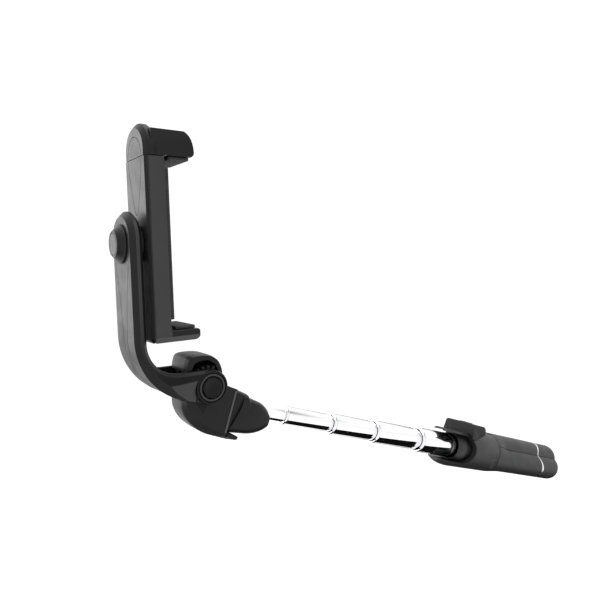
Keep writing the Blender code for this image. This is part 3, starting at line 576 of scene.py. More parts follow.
BAR_BLACK = moulded("bar_black", (0.017, 0.017, 0.018), 0.40, 0.42)
# the arm's satin black with painted shade: darker and less glossy down towards the bend
ARM_BLACK = moulded("arm_black", (0.019, 0.019, 0.020), 0.42, 0.3, shade_heights=(0.038, 0.006))
# a duller copy of the satin black: painted light and shade for the head's rim, lighter than the head's
# shaded black and darker than the bar
RIM_BLACK = moulded("rim_black", (0.014, 0.014, 0.015), 0.44, 0.22)
# a darker copy of the satin black: painted shade, for faces that look dark where light falls off
SHADED_BLACK = moulded("shaded_black", (0.006, 0.006, 0.0065), 0.40, 0.2, grain_depth=0.1, wear=0.35)
GRIP_BLACK = moulded("grip_black", (0.015, 0.015, 0.0155), 0.46, 0.4, grain_depth=0.2)
# a lighter copy of the satin black: painted light, for strips and ribs that catch the light
LIT_STRIP_BLACK = moulded("lit_strip_black", (0.046, 0.046, 0.047), 0.42, 0.45, grain_depth=0.1)
GLOSS_BLACK = moulded("gloss_black", (0.004, 0.004, 0.0045), 0.2, 0.14, grain_depth=0.02, wear=0.25)
# the last value paints shade on the tube's edges at grazing angles, for the dark reflections there
CHROME = metal("chrome_tube", (0.93, 0.93, 0.94), 0.035, (1, 1, 0.02), 1500.0, 0.02, 0.03, 0.85)
STEEL = metal("brushed_steel", (0.56, 0.56, 0.58), 0.24, (1, 1, 0.06), depth=0.12, smudge=0.1)
DARK_STEEL = metal("blackened_steel", (0.10, 0.10, 0.105), 0.34, (1, 1, 1), depth=0.1, smudge=0.12)
SILVER = metal("satin_silver", (0.86, 0.86, 0.87), 0.2, (0.08, 1, 1), depth=0.1, smudge=0.08)
RUBBER = rubbery("pad_rubber", (0.022, 0.022, 0.022))
NYLON = nylon_like("natural_nylon")
BLACK_NYLON = moulded("black_nylon", (0.010, 0.010, 0.0105), 0.5, 0.25, grain_depth=0.2, wear=0.3)
BOARD = board_like("board_green")

SLOT_MATERIALS = {
    "satin_black": BAR_BLACK, "dark_gloss": GLOSS_BLACK, "rubber": RUBBER, "chrome": CHROME,
    "steel": STEEL, "silver_trim": SILVER, "nylon": NYLON, "black_nylon": BLACK_NYLON,
    "circuit_board": BOARD,
}
for name, slot in SLOTS.items():
    skin = frame["nodes"][name].data.materials
    skin.clear()
    skin.append(SLOT_MATERIALS[slot])

BEYOND, WELL_BEYOND = 20, 30  # where cutters that cross a whole piece end, in mm from its middle

# ---- telescopic tubes
TUBE_WALL = 0.35
TUBE_EASE = 0.12
RING_RISE = 0.55


def tubes():
    """Five stages with rolled rings at their front ends, the thinnest without one."""
    inner = 0
    for number in range(1, 6):
        low, high = limits(f"tube_{number}", STICK)
        front, back, radius = low.z, high.z, high.x
        if number == 1:
            mouth = [(radius, front + TUBE_EASE), (radius - TUBE_EASE, front), (radius - TUBE_WALL, front)]
        else:
            radius -= RING_RISE
            lip = inner + TUBE_EASE
            roll = [radians(80 - 20 * i) for i in range(9)]
            mouth = [(radius, front + 1.9), (radius + 0.05, front + 1.7)]
            mouth += [(radius + 0.1 + 0.3 * cos(a), front + 0.85 + 0.75 * sin(a)) for a in roll]
            mouth += [
                (radius - 0.1, front + 0.06), (lip + 0.3, front), (lip + 0.05, front + 0.06),
                (lip, front + 0.2), (lip, front + 1.0), (radius - TUBE_WALL, front + 1.4),
            ]
        profile = [(radius - TUBE_EASE, back), (radius, back - TUBE_EASE)] + mouth
        shape = lathe(profile + [(radius - TUBE_WALL, back)], 128)
        piece(f"chrome_tube_{number}", shape, STICK, f"tube_{number}", CHROME, 50)
        inner = radius


# ---- handle
TOP_PIN = STICK.inverted() @ Vector(JOINTS["leg_top_hinge"]["pos_m"])
PIN_R = hypot(TOP_PIN.x, TOP_PIN.y) / MM
PIN_BORE = 0.95
HUB_LOW, HUB_HIGH = limits("hub_body", STICK)
HUB_FRONT, HUB_BACK = HUB_LOW.z, HUB_HIGH.z
HUB_R = max(HUB_HIGH.x, HUB_HIGH.y)
SLEEVE_LOW, SLEEVE_HIGH = limits("hub_sleeve", STICK)
FOOT_END = limits("foot_cap_top", leg_frame("top"))[1].z
TRIM_AT = limits("leg_trim_top", leg_frame("top"))[1].z
KNUCKLE = -limits("leg_top", leg_frame("top"))[0].z
LEG_FACE = KNUCKLE + 0.3
BORE = 8.8
LOBE_MIDDLE, LOBE_R = 4.7, 9.6
THIRD = pi / 3 - 0.018  # half of a leg's share of the round, in radians, less the gap beside it
LEG_BLEND = 17.0  # length over which a leg's section turns from the round hub to a lobe
FOOT_NOSE = 6.5
CUT_FRONT, CUT_BACK = 150, 260
SIDES = ("top", "near", "far")


def hub():
    """Round hub with a scooped lip, two round-bottomed notches, and a slot for each leg's tongue."""
    nose = ((0, 11), (0.2, 8), (0.6, 5), (1.1, 2.8), (1.9, 1.1), (2.8, 0.2), (3.2, 0))
    profile = [(0, HUB_BACK), (HUB_R - 0.15, HUB_BACK), (HUB_R, HUB_BACK - 0.3)]
    profile += [(HUB_R - drop, HUB_FRONT + z) for drop, z in nose] + [(0, HUB_FRONT)]
    remote_low = limits("remote_case_upper", STICK)[0].z
    scoop = [
        (-BEYOND, CUT_FRONT), (-11.25, CUT_FRONT), (-11.35, HUB_FRONT), (-10.75, HUB_FRONT + 3),
        (-10.6, HUB_FRONT + 6.5), (-10.7, HUB_FRONT + 11), (-11.0, remote_low + 0.5),
        (-BEYOND, remote_low + 0.5),
    ]
    radius, end = 9.6, 214.0
    mouth = [(radius, CUT_FRONT)] + arc((0, end - radius), radius, 0, 180, 48) + [(-radius, CUT_FRONT)]
    tools = cuts(
        rod(SLEEVE_HIGH.x + 0.2, CUT_FRONT, SLEEVE_HIGH.z + 0.3, sides=144),
        rod(BORE, CUT_FRONT, CUT_BACK, sides=144),
        prism(scoop, -BEYOND, BEYOND, "y"),
        prism(mouth, -WELL_BEYOND, WELL_BEYOND, "y"),
    )
    swing = [(6, 1.4), (6, 6), (0.1, 6)] + arc((0, 0), KNUCKLE + 0.2, 88, 28, 14)
    for side in SIDES:
        slots = (
            prism(swing, -9, 9, "y"),
            rod(KNUCKLE + 0.3, -3.3, 3.3, "y"),
            block((-KNUCKLE - 2.3, -3.25, 0), (6, 3.25, 6)),
            rod(PIN_BORE, -6, 6, "y", sides=24),
        )
        tools += cuts(*[moved(slot, between_frames(leg_frame(side), STICK)) for slot in slots])
    low, high = limits("remote_case_lower", STICK)
    tools += cuts(block((-WELL_BEYOND, low.y - 0.4, low.z - 1.1), (-11.4, high.y + 0.4, high.z + 1.1)))
    piece("hub", combined(lathe(profile, 144), tools), STICK, "hub_body", GRIP_BLACK, edge=0.28)

    outer, inner, front, back = SLEEVE_HIGH.x, 8.65, SLEEVE_LOW.z, SLEEVE_HIGH.z
    neck_start, neck_end, neck_r = 208.0, 216.2, outer - 0.9
    collar = [
        (outer, back), (outer, neck_end), (neck_r, neck_end - 0.2), (neck_r, neck_start + 0.4),
        (outer - 0.2, neck_start + 0.2), (outer, neck_start), (outer, front + 3.3),
        (outer - 0.15, front + 2.9), (inner + 0.6, front + 0.2), (inner + 0.4, front), (inner, front),
        (inner, back),
    ]
    piece("hub_collar", lathe(collar, 128), STICK, "hub_sleeve", GRIP_BLACK, 35)


def leg_skin(angle, z):
    """Outer radius of the closed handle: round at the hub, three lobes further on, rounded at the foot."""
    lobe = LOBE_MIDDLE * cos(angle) + sqrt(LOBE_R**2 - (LOBE_MIDDLE * sin(angle)) ** 2)
    share = min(1.0, max(0.0, (z - LEG_FACE) / LEG_BLEND))
    share = share * share * (3 - 2 * share)
    radius = (HUB_R + (lobe - HUB_R) * share) if lobe < HUB_R else lobe
    if z > FOOT_END - FOOT_NOSE:
        t = min(1.0, (z - FOOT_END + FOOT_NOSE) / FOOT_NOSE)
        radius -= 5.2 * (1 - sqrt(max(0.0, 1 - t * t)))
    return radius


def leg_loop(z, inner, steps=40):
    """Section of a leg at a height in its own frame, from the inner face round the lobe."""
    angles = [-THIRD + 2 * THIRD * i / steps for i in range(steps + 1)]
    loop = [(leg_skin(a, z) * cos(a), leg_skin(a, z) * sin(a)) for a in angles]
    if inner > 1:
        loop += [(inner * cos(a), inner * sin(a)) for a in reversed(angles[::2])]
    else:
        loop.append((inner, 0))
    return [(x - PIN_R, y, z) for x, y in loop]


def leg_body(inner):
    """Whole length of a leg, from its face on the hub to the foot, with an inner radius."""
    start, end = LEG_FACE, FOOT_END
    heights = [start + LEG_BLEND * i / 12 for i in range(12)]
    heights += [start + LEG_BLEND, start + 40, end - 20, end - 9]
    heights += [end - FOOT_NOSE + (FOOT_NOSE - 0.02) * sin(pi / 2 * i / 9) for i in range(10)]
    return loft([leg_loop(z, inner) for z in heights])


def legs():
    """Three legs, each a hinged lobe with an inlaid silver crescent and a solid foot."""
    crest = TRIM_AT - 1.5
    bow, reach, wide_trim = 13.0, 10.6, 2.2
    front = arc((0, crest - bow), bow, 90 + 60, 90 - 60, 36)
    tail = (front[0][1] + front[-1][1]) / 2
    rise = crest + wide_trim - tail
    wide = (reach**2 + rise**2) / (2 * rise)
    back = arc((0, crest + wide_trim - wide), wide, 90 + 59, 90 - 59, 36)

    def past(curve, offset):
        """Everything beyond a bowed line across the leg."""
        line = [(x, z + offset) for x, z in curve]
        line = [(-16, line[0][1])] + line + [(16, line[-1][1])]
        end = FOOT_END + WELL_BEYOND
        return prism(line + [(16, end), (-16, end)], -WELL_BEYOND, WELL_BEYOND, "x")

    def bore(end):
        return rod(BORE, -BEYOND, end, "z", (-PIN_R, 0, 0), 96)

    for side in SIDES:
        place = leg_frame(side)
        tongue = prism([(-2.4, 0), (2.7, 0), (2.7, LEG_FACE + 1), (-2.4, LEG_FACE + 1)], -3, 3, "y")
        tools = joins(tongue, rod(KNUCKLE, -3, 3, "y"))
        tools += cuts(bore(FOOT_END + BEYOND), rod(PIN_BORE, -9, 9, "y", sides=24), past(front, -0.12))
        shell = combined(leg_body(BORE - 0.4), tools)
        piece(f"leg_shell_{side}", shell, place, f"leg_{side}", GRIP_BLACK, edge=0.2)

        crescent = combined(leg_body(BORE), keeps(past(front, 0.0)) + cuts(past(back, 0.0)))
        piece(f"leg_crescent_{side}", crescent, place, f"leg_trim_{side}", SILVER)

        foot = combined(leg_body(0.7), keeps(past(back, 0.12)) + cuts(bore(FOOT_END - 12)))
        piece(f"leg_foot_{side}", foot, place, f"foot_cap_{side}", GRIP_BLACK, edge=0.2)


# ---- remote
def remote():
    """Remote in the hub's pocket: scooped faces, a sloped end and a ringed button."""
    low, high = limits("remote_case_upper", REMOTE)
    button_low, button_high = limits("remote_button", REMOTE)
    top, wide = high.z, high.y
    middle, half = (low.x + high.x) / 2, (high.x - low.x) / 2
    base, inside, gap = top - 3.5, 7.8, 0.3
    side_view = [
        (middle - half, top - 0.9), (middle - half, base - 6.4), (middle - 0.5, base - 6.4),
        (middle + half, base - 1.4), (middle + half, top - 1.5), (middle + half - 1.2, top),
        (middle - half + 0.9, top),
    ]
    end_view = [
        (-wide, 5), (wide, 5), (wide, base - 5), (wide - 1.1, top - 1.2), (wide - 2.0, top + 0.2),
        (-wide + 2.0, top + 0.2), (-wide + 1.1, top - 1.2), (-wide, base - 5),
    ]
    tools = keeps(prism(end_view, middle - BEYOND, middle + BEYOND, "x"))
    for sign in (-1, 1):
        tools += cuts(rod(13.0, base - 12, top + 6, "z", (middle + 1.0, sign * (wide + 12.3), 0), 128))
    skirt = [(-12, 0), (12, 0), (12, 9.0), (9.4, 11.3), (-9.4, 11.3), (-12, 9.0)]
    tools += cuts(
        rod(HUB_R + 0.35, middle - half + 2.0, middle + BEYOND, "x", sides=144),
        prism(skirt, middle - BEYOND, middle + BEYOND, "x"),
        block((middle - 5.4, -inside, 0), (middle + 5.4, inside, top - 1.5)),
        block(
            (button_low.x - gap, button_low.y - gap, base),
            (button_high.x + gap, button_high.y + gap, base + 12),
        ),
    )
    case = combined(prism(side_view, -wide, wide, "y"), tools)
    # painted shade: the case is in the shaded black
    piece("remote_case", case, REMOTE, "remote_case_upper", SHADED_BLACK, edge=0.3)

    centre = (button_low + button_high) / 2
    half_x, half_y = (button_high.x - button_low.x) / 2, (button_high.y - button_low.y) / 2
    outline = [(centre.x + u, centre.y + v) for u, v in superellipse(half_x, half_y, 5.0, 48)]
    crown = button_high.z
    levels = [(outline, button_low.z), (outline, crown - 0.7)]
    for share, drop in ((0.97, 0.35), (0.9, 0.1), (0.8, 0.0)):
        levels.append((
            [(centre.x + (u - centre.x) * share, centre.y + (v - centre.y) * share) for u, v in outline],
            crown - drop,
        ))
    ring = [(1.75, crown + 1), (1.75, crown - 0.22), (1.35, crown - 0.22), (1.35, crown + 1)]
    key = combined(stepped(levels), cuts(lathe(ring, 64, "z", (centre.x, centre.y, 0))))
    piece("remote_key", key, REMOTE, "remote_button", BAR_BLACK)


# ---- phone clamp
ENGRAVE_WIDTH = 0.32
ENGRAVE_DEPTH = 0.3
ROD_BORE = 1.75
JAW_FOOT = limits("clamp_cover", ROW)[1].z


def engraved(line, face):
    """Cutter for a line engraved in a face at x = face that looks along -X."""
    return cuts(prism(ribbon(curved(line), ENGRAVE_WIDTH), face - 1, face + ENGRAVE_DEPTH, "x"))


def rod_bores(start, end):
    """Cutters for the two guide rods, between two heights."""
    spots = [middle_of(f"guide_rod_{word}", ROW) for word in ("near", "far")]
    return cuts(*[rod(ROD_BORE, start, end, "z", (spot.x, spot.y, 0), 48) for spot in spots])


def across(edge):
    """Whether an edge lies in a plane across the part, at one Y."""
    return abs(edge.verts[0].co.y - edge.verts[1].co.y) < 0.01


def back_plate():
    """Cover of the clamp's back with a sloped border and two engraved lines."""
    low, high = limits("clamp_cover", ROW)
    back, front, half, top, foot = low.x, high.x, high.y, high.z, low.z
    border, corner = 1.35, 3
    full = [(-half, top), (-half, foot + corner)]
    full += arc((-half + corner, foot + corner), corner, 180, 270, 8)[1:]
    full += arc((half - corner, foot + corner), corner, 270, 360, 8)[:-1]
    full += [(half, foot + corner), (half, top)]
    rear = inset([(y, z, 0.0 if z > top - 0.01 else border) for y, z in full], 1.0)
    rear[0], rear[-1] = (-half + border, top), (half - border, top)
    tools = cuts(rod(2.8, back - 5, front + 5, "x"))
    for side in (-1, 1):
        marks = [(8.0, top + 1), (7.6, top - 3), (6.0, 27.0), (3.9, 20.0), (1.9, 14.5), (0.25, 12.4)]
        tools += engraved([(side * y, z) for y, z in marks], back)
    shape = combined(stepped([(rear, back), (full, front - 0.15), (full, front)], "x"), tools)
    made = piece("clamp_back_plate", shape, ROW, "clamp_cover", BAR_BLACK)
    # painted shade: the sloped border takes the shaded black
    paint(made, SHADED_BLACK, lambda centre, normal: -0.95 < normal.x < -0.2)


def bar():
    """Clamp bar with the lower jaw at its foot, hollow for the springs."""
    low, high = limits("clamp_body", ROW)
    back, reach, half, top, foot = low.x, high.x, high.y, high.z, low.z
    front, jaw_face, strip = -2.0, -38.8, 2.5
    side_view = [(back, top), (front, top), (front, jaw_face + 2.0)]
    side_view += arc((front + 2.0, jaw_face + 2.0), 2.0, 180, 270, 6)[1:]
    side_view += [(reach - 1.2, jaw_face), (reach - 0.3, jaw_face - 0.4), (reach, jaw_face - 1.2)]
    side_view += arc((reach - 2.2, foot + 2.2), 2.2, 0, -90, 8) + [(back + 0.6, foot), (back, foot + 0.6)]
    shape = prism(side_view, -half, half, "y")
    soft = [
        e for e in shape.edges
        if across(e)
        and min(v.co.z for v in e.verts) < top - 0.2
        and max(v.co.x for v in e.verts) > back + 0.3
    ]
    bevelled(shape, soft, 0.8, 3)
    corner = [(half, top + 1), (half, foot + strip), (half - 1.5, foot)]
    end_view = [(-y, z) for y, z in corner] + corner[::-1]
    tools = keeps(prism(end_view, back - 1, reach + 1, "x"))
    for y in (-half, half):
        tools += cuts(block((front - 0.02, y - 0.05, foot - 1), (front + 0.02, y + 0.05, jaw_face + 1)))
    roof = limits("jaw_spring_near", ROW)[1].z + 0.8
    tools += cuts(block((back - 5, -9.4, -36), (-3.6, 9.4, roof))) + rod_bores(roof - 1, top + 1)
    made = piece("clamp_bar", combined(shape, tools), ROW, "clamp_body", BAR_BLACK, edge=0.22)
    # painted shade: the lower jaw's faces take the shaded black
    paint(made, SHADED_BLACK, lambda centre, normal: centre.x > front - 0.3 and normal.z > -0.2)
    # painted light: the sloped strip under the jaw takes a lighter black, for the light it catches from
    # below
    paint(made, LIT_STRIP_BLACK, lambda centre, normal: -0.7 < normal.z < -0.4 and abs(normal.y) > 0.7)


def pads():
    """Rubber pads of the clamp, each with a row of grooves across its face."""
    low, high = limits("seat_pad", ROW)
    grooves = [
        rod(0.55, low.y + 1.6, high.y - 1.6, "y", (high.x + 0.28, 0, low.z + 5 + 4.75 * i), 24)
        for i in range(13)
    ]
    piece("back_pad", combined(block(low, high, 0.55, 3), cuts(*grooves)), ROW, "seat_pad", RUBBER)
    for name, out in (("lower_jaw_pad", 1), ("upper_jaw_pad", -1)):
        low, high = limits(name, ROW)
        face = (high.z if out > 0 else low.z) + out * 0.25
        grooves = [
            rod(0.5, low.y + 1.2, high.y - 1.2, "y", (low.x + 1.6 + 2.1 * i, 0, face), 24)
            for i in range(4)
        ]
        piece(name + "_ribbed", combined(block(low, high, 0.45, 3), cuts(*grooves)), ROW, name, RUBBER)


def upper_jaw():
    """Arched back plate with a wide chamfer, falling to a lower jaw with a rounded tip."""
    low, high = limits("upper_jaw", ROW)
    back, reach, top, half = low.x, high.x, high.z, high.y
    foot = JAW_FOOT + 0.3
    beam_top, beam_face, beam_back = 48.9, 38.0, -2.0

    def arch(inward, drop):
        """Outline of the plate, drawn in at the sides and dropped at the crown."""
        width, crown = half - inward, top - drop
        points = [
            (-width * cos(a), crown - width * 0.96 + width * 0.96 * sin(a))
            for a in [pi * i / 40 for i in range(41)]
        ]
        return [(-width, foot)] + points + [(width, foot)]

    levels = [
        (arch(2.5, 2.3), back), (arch(0.9, 0.75), back + 1.2), (arch(0.25, 0.15), back + 1.8),
        (arch(0, 0), back + 2.4), (arch(0, 0), back + 4.2), (arch(0.3, 0.5), back + 4.9),
        (arch(0.7, 2.4), back + 7.2), (arch(0.9, top - beam_top + 0.6), back + 8.6),
    ]
    nose = ((4.4, 0.1), (2.6, 1.3), (1.1, 3.4), (0.2, 6.4), (0, 8.2))
    side_view = [(back + 3, foot), (back + 3, beam_top), (reach - 5.4, beam_top)]
    side_view += curved([(reach - x, beam_top - z) for x, z in nose], 6)
    side_view += [
        (reach - 0.1, beam_face + 1.0), (reach - 1.0, beam_face), (beam_back + 0.3, beam_face),
        (beam_back, beam_face - 0.2), (beam_back, foot),
    ]
    beam = prism(side_view, 0.5 - half, half - 0.5, "y")
    soft = []
    for edge in filter(across, beam.edges):
        lowest, highest = sorted(v.co.z for v in edge.verts)
        rearmost, foremost = sorted(v.co.x for v in edge.verts)
        under = rearmost > beam_back - 0.1 and highest < beam_face + 1.4
        over = lowest > beam_face + 1.5 and rearmost > back + 2.9 and foremost > back + 3.5
        if under or over:
            soft.append(edge)
    bevelled(beam, soft, 0.9, 3)
    marks = [(8.0, foot - 1), (7.95, foot + 1.5), (6.6, 43.0), (3.6, 45.6)]
    line = [(-y, z) for y, z in marks] + [(0.0, 46.6)] + marks[::-1]
    tools = joins(beam) + rod_bores(foot - 1, 45) + engraved(line, back)
    made = piece("jaw_cap", combined(stepped(levels, "x"), tools), ROW, "upper_jaw", BAR_BLACK, edge=0.15)
    # painted shade: all but the plate's back face take the shaded black
    paint(made, SHADED_BLACK, lambda centre, normal: centre.x > back + 0.05)


def swivel():
    """Dished knob on the swivel bolt, and the washer behind the arm."""
    low, high = limits("swivel_cap", ROW)
    front, back, base = high.x, low.x, high.y
    tip, bore, bore_end = 5.5, 2.75, limits("swivel_bolt", ROW)[0].x - 0.2
    dish = [(0.55, 0.45), (0.3, 0.12), (0, 0), (-0.35, 0), (-0.45, 0.22), (-0.75, 0.22)]
    dish += [(-0.85, 0.02), (-1.2, 0)]
    profile = [(base - drop, front - x) for drop, x in ((0.25, 0), (0, 0.25), (0.1, 0.7), (0.5, 0.95))]
    profile += [(tip + rise, back + x) for rise, x in dish]
    profile += [(0, back + 0.05), (0, bore_end), (bore, bore_end), (bore, front)]
    made = piece("swivel_knob", lathe(profile, 128, "x"), ROW, "swivel_cap", BAR_BLACK, 32)
    # painted shade: the knob's cone takes the shaded black, its end face keeps the satin black
    paint(made, SHADED_BLACK, lambda centre, normal: centre.x > back + 0.15)

    low, high = limits("swivel_washer", ROW)
    outer, inner = high.y, 2.9
    profile = [(outer - 0.2, high.x), (outer, high.x - 0.2), (outer, low.x + 0.2), (outer - 0.2, low.x)]
    profile += [(inner, low.x), (inner, high.x)]
    piece("swivel_spacer", lathe(profile, 96, "x"), ROW, "swivel_washer", BLACK_NYLON, 35)


def springs():
    """Coil springs that pull the upper jaw down."""
    wire, coils, per_coil = 0.3, 13, 26
    section = [2 * pi * j / 10 for j in range(10)]
    for word in ("near", "far"):
        low, high = limits(f"jaw_spring_{word}", ROW)
        middle = (low + high) / 2
        winding = high.x - middle.x - wire
        length = high.z - low.z - 2 * wire
        loops = []
        for i in range(coils * per_coil + 1):
            turn, height = 2 * pi * i / per_coil, low.z + wire + length * i / (coils * per_coil)
            loops.append([
                (
                    middle.x + (winding + wire * cos(a)) * cos(turn),
                    middle.y + (winding + wire * cos(a)) * sin(turn),
                    height + wire * sin(a),
                )
                for a in section
            ])
        made = piece(f"jaw_coil_{word}", loft(loops), ROW, f"jaw_spring_{word}", STEEL, 50)
        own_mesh(made)


# ---- arm
ARM_LOW, ARM_HIGH = limits("arm_shell", HINGE)
ARM_HALF = ARM_HIGH.y
ARM_BACK = ARM_LOW.x
ARM_THICK = 5.3
ARM_CROWN = ARM_HIGH.z - ARM_HALF
BEND_TOP = 26.0
OUTER_BEND, INNER_BEND = 31.8, 15.0
REAR_CHAMFER, FRONT_CHAMFER = 2.3, 1.9
KNUCKLE_R = 8.2
CHEEK_GAP = 9.1
AXLE_BORE = 2.65


def arm_rows():
    """Back and front points of the arm's side view, from the top down to the knuckle."""
    back, front, top = ARM_BACK, ARM_BACK + ARM_THICK, ARM_HIGH.z
    heights = [top - 0.02 - ARM_HALF * (1 - sin(pi / 2 * i / 22)) for i in range(22, -1, -1)]
    rows = [((back, z), (front, z)) for z in heights + [59.2, 56, 52, 48, 44, 40, 36, 32, 29]]
    outside = arc((back + OUTER_BEND, BEND_TOP), OUTER_BEND, 180, 247, 30)
    inside = arc((front + INNER_BEND, 23.5), INNER_BEND, 180, 268, 30)
    rows += list(zip(outside, inside))
    ends = ((-3.07, -7.6), (0.0, KNUCKLE_R))
    last = rows[-1]
    for t in (0.25, 0.5, 0.75, 1.0):
        rows.append([[a + (b - a) * t for a, b in zip(*pair)] for pair in zip(last, ends)])
    return rows


def arm_loop(row, share):
    """Section of the arm: a back face between wide chamfers, sides, and narrow front chamfers."""
    (bx, bz), (fx, fz) = row
    run = Vector((fx - bx, fz - bz))
    rise = max(0.0, bz - ARM_CROWN)
    half = sqrt(max(0.0004, ARM_HALF**2 - rise**2)) - 0.45 * share
    rear_depth, front_depth = 2.2 + 3.6 * share, 1.7

    def slope(y, chamfer):
        """Share of a chamfer crossed at a distance from the middle, 0 on the flat."""
        return max(0.0, hypot(y, rise) - (ARM_HALF - chamfer)) / chamfer

    def offsets(chamfer):
        flat = sqrt(max(0.0, (ARM_HALF - chamfer) ** 2 - rise**2))
        return [flat * i / 4 for i in range(4)] + [flat + (half - flat) * i / 4 for i in range(5)]

    rear = [(y, slope(y, REAR_CHAMFER) * rear_depth) for y in offsets(REAR_CHAMFER)]
    front = [(y, run.length - slope(y, FRONT_CHAMFER) * front_depth) for y in offsets(FRONT_CHAMFER)]
    path = [(-y, depth) for y, depth in reversed(rear)] + rear[1:]
    path += front[::-1] + [(-y, depth) for y, depth in front[1:]]
    unit = run.normalized()
    return [(bx + unit.x * d, y, bz + unit.y * d) for y, d in path]


def arm_line(rows, side):
    """Cutter for the line engraved down the arm's back, which nears the middle towards the knuckle."""
    marks = [(62.0, 8.9), (58.0, 8.2), (52.0, 6.4), (46.0, 5.0), (38.0, 3.7), (28.0, 2.6)]
    marks += [(18.0, 1.8), (8.0, 1.2), (-4.0, 0.7)]
    half = ENGRAVE_WIDTH / 2
    section = ((-half, -1.0), (half, -1.0), (half, ENGRAVE_DEPTH), (-half, ENGRAVE_DEPTH))
    loops = []
    for (bx, bz), (fx, fz) in rows:
        if -3.0 <= bz <= 59.5:
            spot = side * read_off(marks, bz)
            unit = Vector((fx - bx, fz - bz)).normalized()
            loops.append([(bx + unit.x * d, spot + w, bz + unit.y * d) for w, d in section])
    return loft(loops)


def arm():
    """Hooked arm, chamfered all round, with a forked knuckle between two cheeks."""
    rows = arm_rows()
    bend_start = next(i for i, row in enumerate(rows) if row[0][1] <= BEND_TOP + 0.01)
    shares = [max(0.0, (i - bend_start) / (len(rows) - 1 - bend_start)) for i in range(len(rows))]
    shape = loft([arm_loop(row, t * t * (3 - 2 * t)) for row, t in zip(rows, shares)])
    bmesh.ops.remove_doubles(shape, verts=shape.verts, dist=0.004)
    outward(shape)
    facets = []
    for side in (-1, 1):
        face = side * (ARM_HALF - 0.25)
        facets.append(loft([
            [(x, face + side * out, z - drop) for out, drop in ((0, 0), (-3.6, 17), (4, 17), (4, 0))]
            for x, z in ((-31.0, 3.6), (-7.4, 5.2))
        ]))
    shape = combined(shape, cuts(*facets))
    rim = 1.0
    edge = [(KNUCKLE_R - rim, ARM_HALF), (KNUCKLE_R - 0.3, ARM_HALF - 0.35), (KNUCKLE_R, ARM_HALF - rim)]
    boss = [(0, ARM_HALF)] + edge + [(r, -y) for r, y in reversed(edge)] + [(0, -ARM_HALF)]
    well = limits("pivot_ring_far", HINGE)[0].y
    tools = joins(lathe(boss, 96, "y"))
    tools += cuts(
        rod(23.0, -CHEEK_GAP, CHEEK_GAP, "y", sides=128),
        rod(AXLE_BORE, -BEYOND, BEYOND, "y", sides=48),
        *[rod(7.0, *span(side, well + 0.2, BEYOND), "y", sides=96) for side in (-1, 1)],
        rod(AXLE_BORE, ARM_BACK - 10, ARM_BACK + 12, "x", (0, 0, -PIVOT.z / MM), 48),
        *[arm_line(rows, side) for side in (-1, 1)],
    )
    made = piece("arm_body", combined(shape, tools), HINGE, "arm_shell", ARM_BLACK, edge=0.14)

    def shaded_chamfer(centre, normal):
        if centre.z > 29:
            return 0.3 < abs(normal.x) < 0.93
        return 0.25 < abs(normal.y) < 0.93 and abs(centre.y) > 9.5

    def shaded_boss(centre, normal):
        return abs(centre.y) > ARM_HALF - 2.5 and hypot(centre.x, centre.z) < KNUCKLE_R + 0.1

    def lit_facet(centre, normal):
        return 0.95 < abs(normal.y) < 0.99 and abs(centre.y) > ARM_HALF - 2.6 and -30 < centre.x < -7.3

    # painted shade on the chamfers
    paint(made, SHADED_BLACK, shaded_chamfer)
    # painted shade on the knuckle's boss, in the darker gloss black
    paint(made, GLOSS_BLACK, shaded_boss)
    # painted light: the cheek facets keep the satin black without the arm's painted shade, so they read
    # lighter
    paint(made, BAR_BLACK, lit_facet)


def turned_limits(node):
    """A turned node's radius, and its least and greatest distance from the middle plane, in HINGE."""
    low, high = limits(node, HINGE)
    return (high.x, *sorted((abs(low.y), abs(high.y))))


def pivot():
    """End caps of the tilt axle, each a dished disc inside a rounded ring."""
    for side, word in ((-1, "near"), (1, "far")):
        radius, inner, outer = turned_limits(f"pivot_cap_{word}")
        rim = ((1.1, 0.22), (0.8, 0.02), (0.55, 0), (0.2, 0.08), (0, 0.35))
        profile = [(0, outer - 0.25)] + [(radius - r, outer - drop) for r, drop in rim]
        profile += [(radius, inner), (0, inner)]
        piece(f"axle_cap_{word}", side_lathe(profile, side), HINGE, f"pivot_cap_{word}", GLOSS_BLACK, 35)
        radius, inner, outer = turned_limits(f"pivot_ring_{word}")
        bore = 5.4
        thick = (radius - bore) / 2
        profile = arc(((radius + bore) / 2, outer - thick), thick, 0, 180, 12)
        profile += [(bore, inner), (radius, inner)]
        piece(f"axle_ring_{word}", side_lathe(profile, side), HINGE, f"pivot_ring_{word}", BAR_BLACK, 40)


# ---- head
HEAD_HALF = 8.7
NECK_AT = 17.0
SOCKET_BORE = 4.15
SCREWS = {f"head_screw_{number}": middle_of(f"head_screw_{number}", HINGE) for number in (1, 2)}


def head_outline():
    """Side view of the head with, at each point, how far the edge of the side face is drawn in."""
    hood = [(-11.5, 7.8), (-10.7, 12.0), (-9.2, 15.3), (-3.0, 15.5), (2.0, 14.8), (5.8, 12.3), (7.6, 8.2)]
    points = [(x, z, 0.45) for x, z in hood] + [(8.0, 4.0, 0.3)]
    rim = [
        (7.0, 10.3, 0.3), (NECK_AT, 8.9, 0.25), (NECK_AT, -13.1, 0.0), (22.9, -13.1, 0.0),
        (23.6, -14.2, 0.3), (22.8, -15.6, 0.3), (20.4, -16.0, 0.7), (17.8, -16.0, 1.1), (14.5, -15.7, 2.3),
        (11.0, -15.4, 2.9), (6.0, -14.9, 3.0), (1.0, -13.3, 3.0), (-4.5, -10.4, 3.0), (-8.5, -6.5, 2.4),
    ]
    points += [(*from_stick(s, v), amount) for s, v, amount in rim]
    points += [(-13.0, -5.4, 1.0), (-9.3, -3.4, 0.2), (-9.3, 1.6, 0.2)]
    return eased(points, 3, keep=(9, 10))


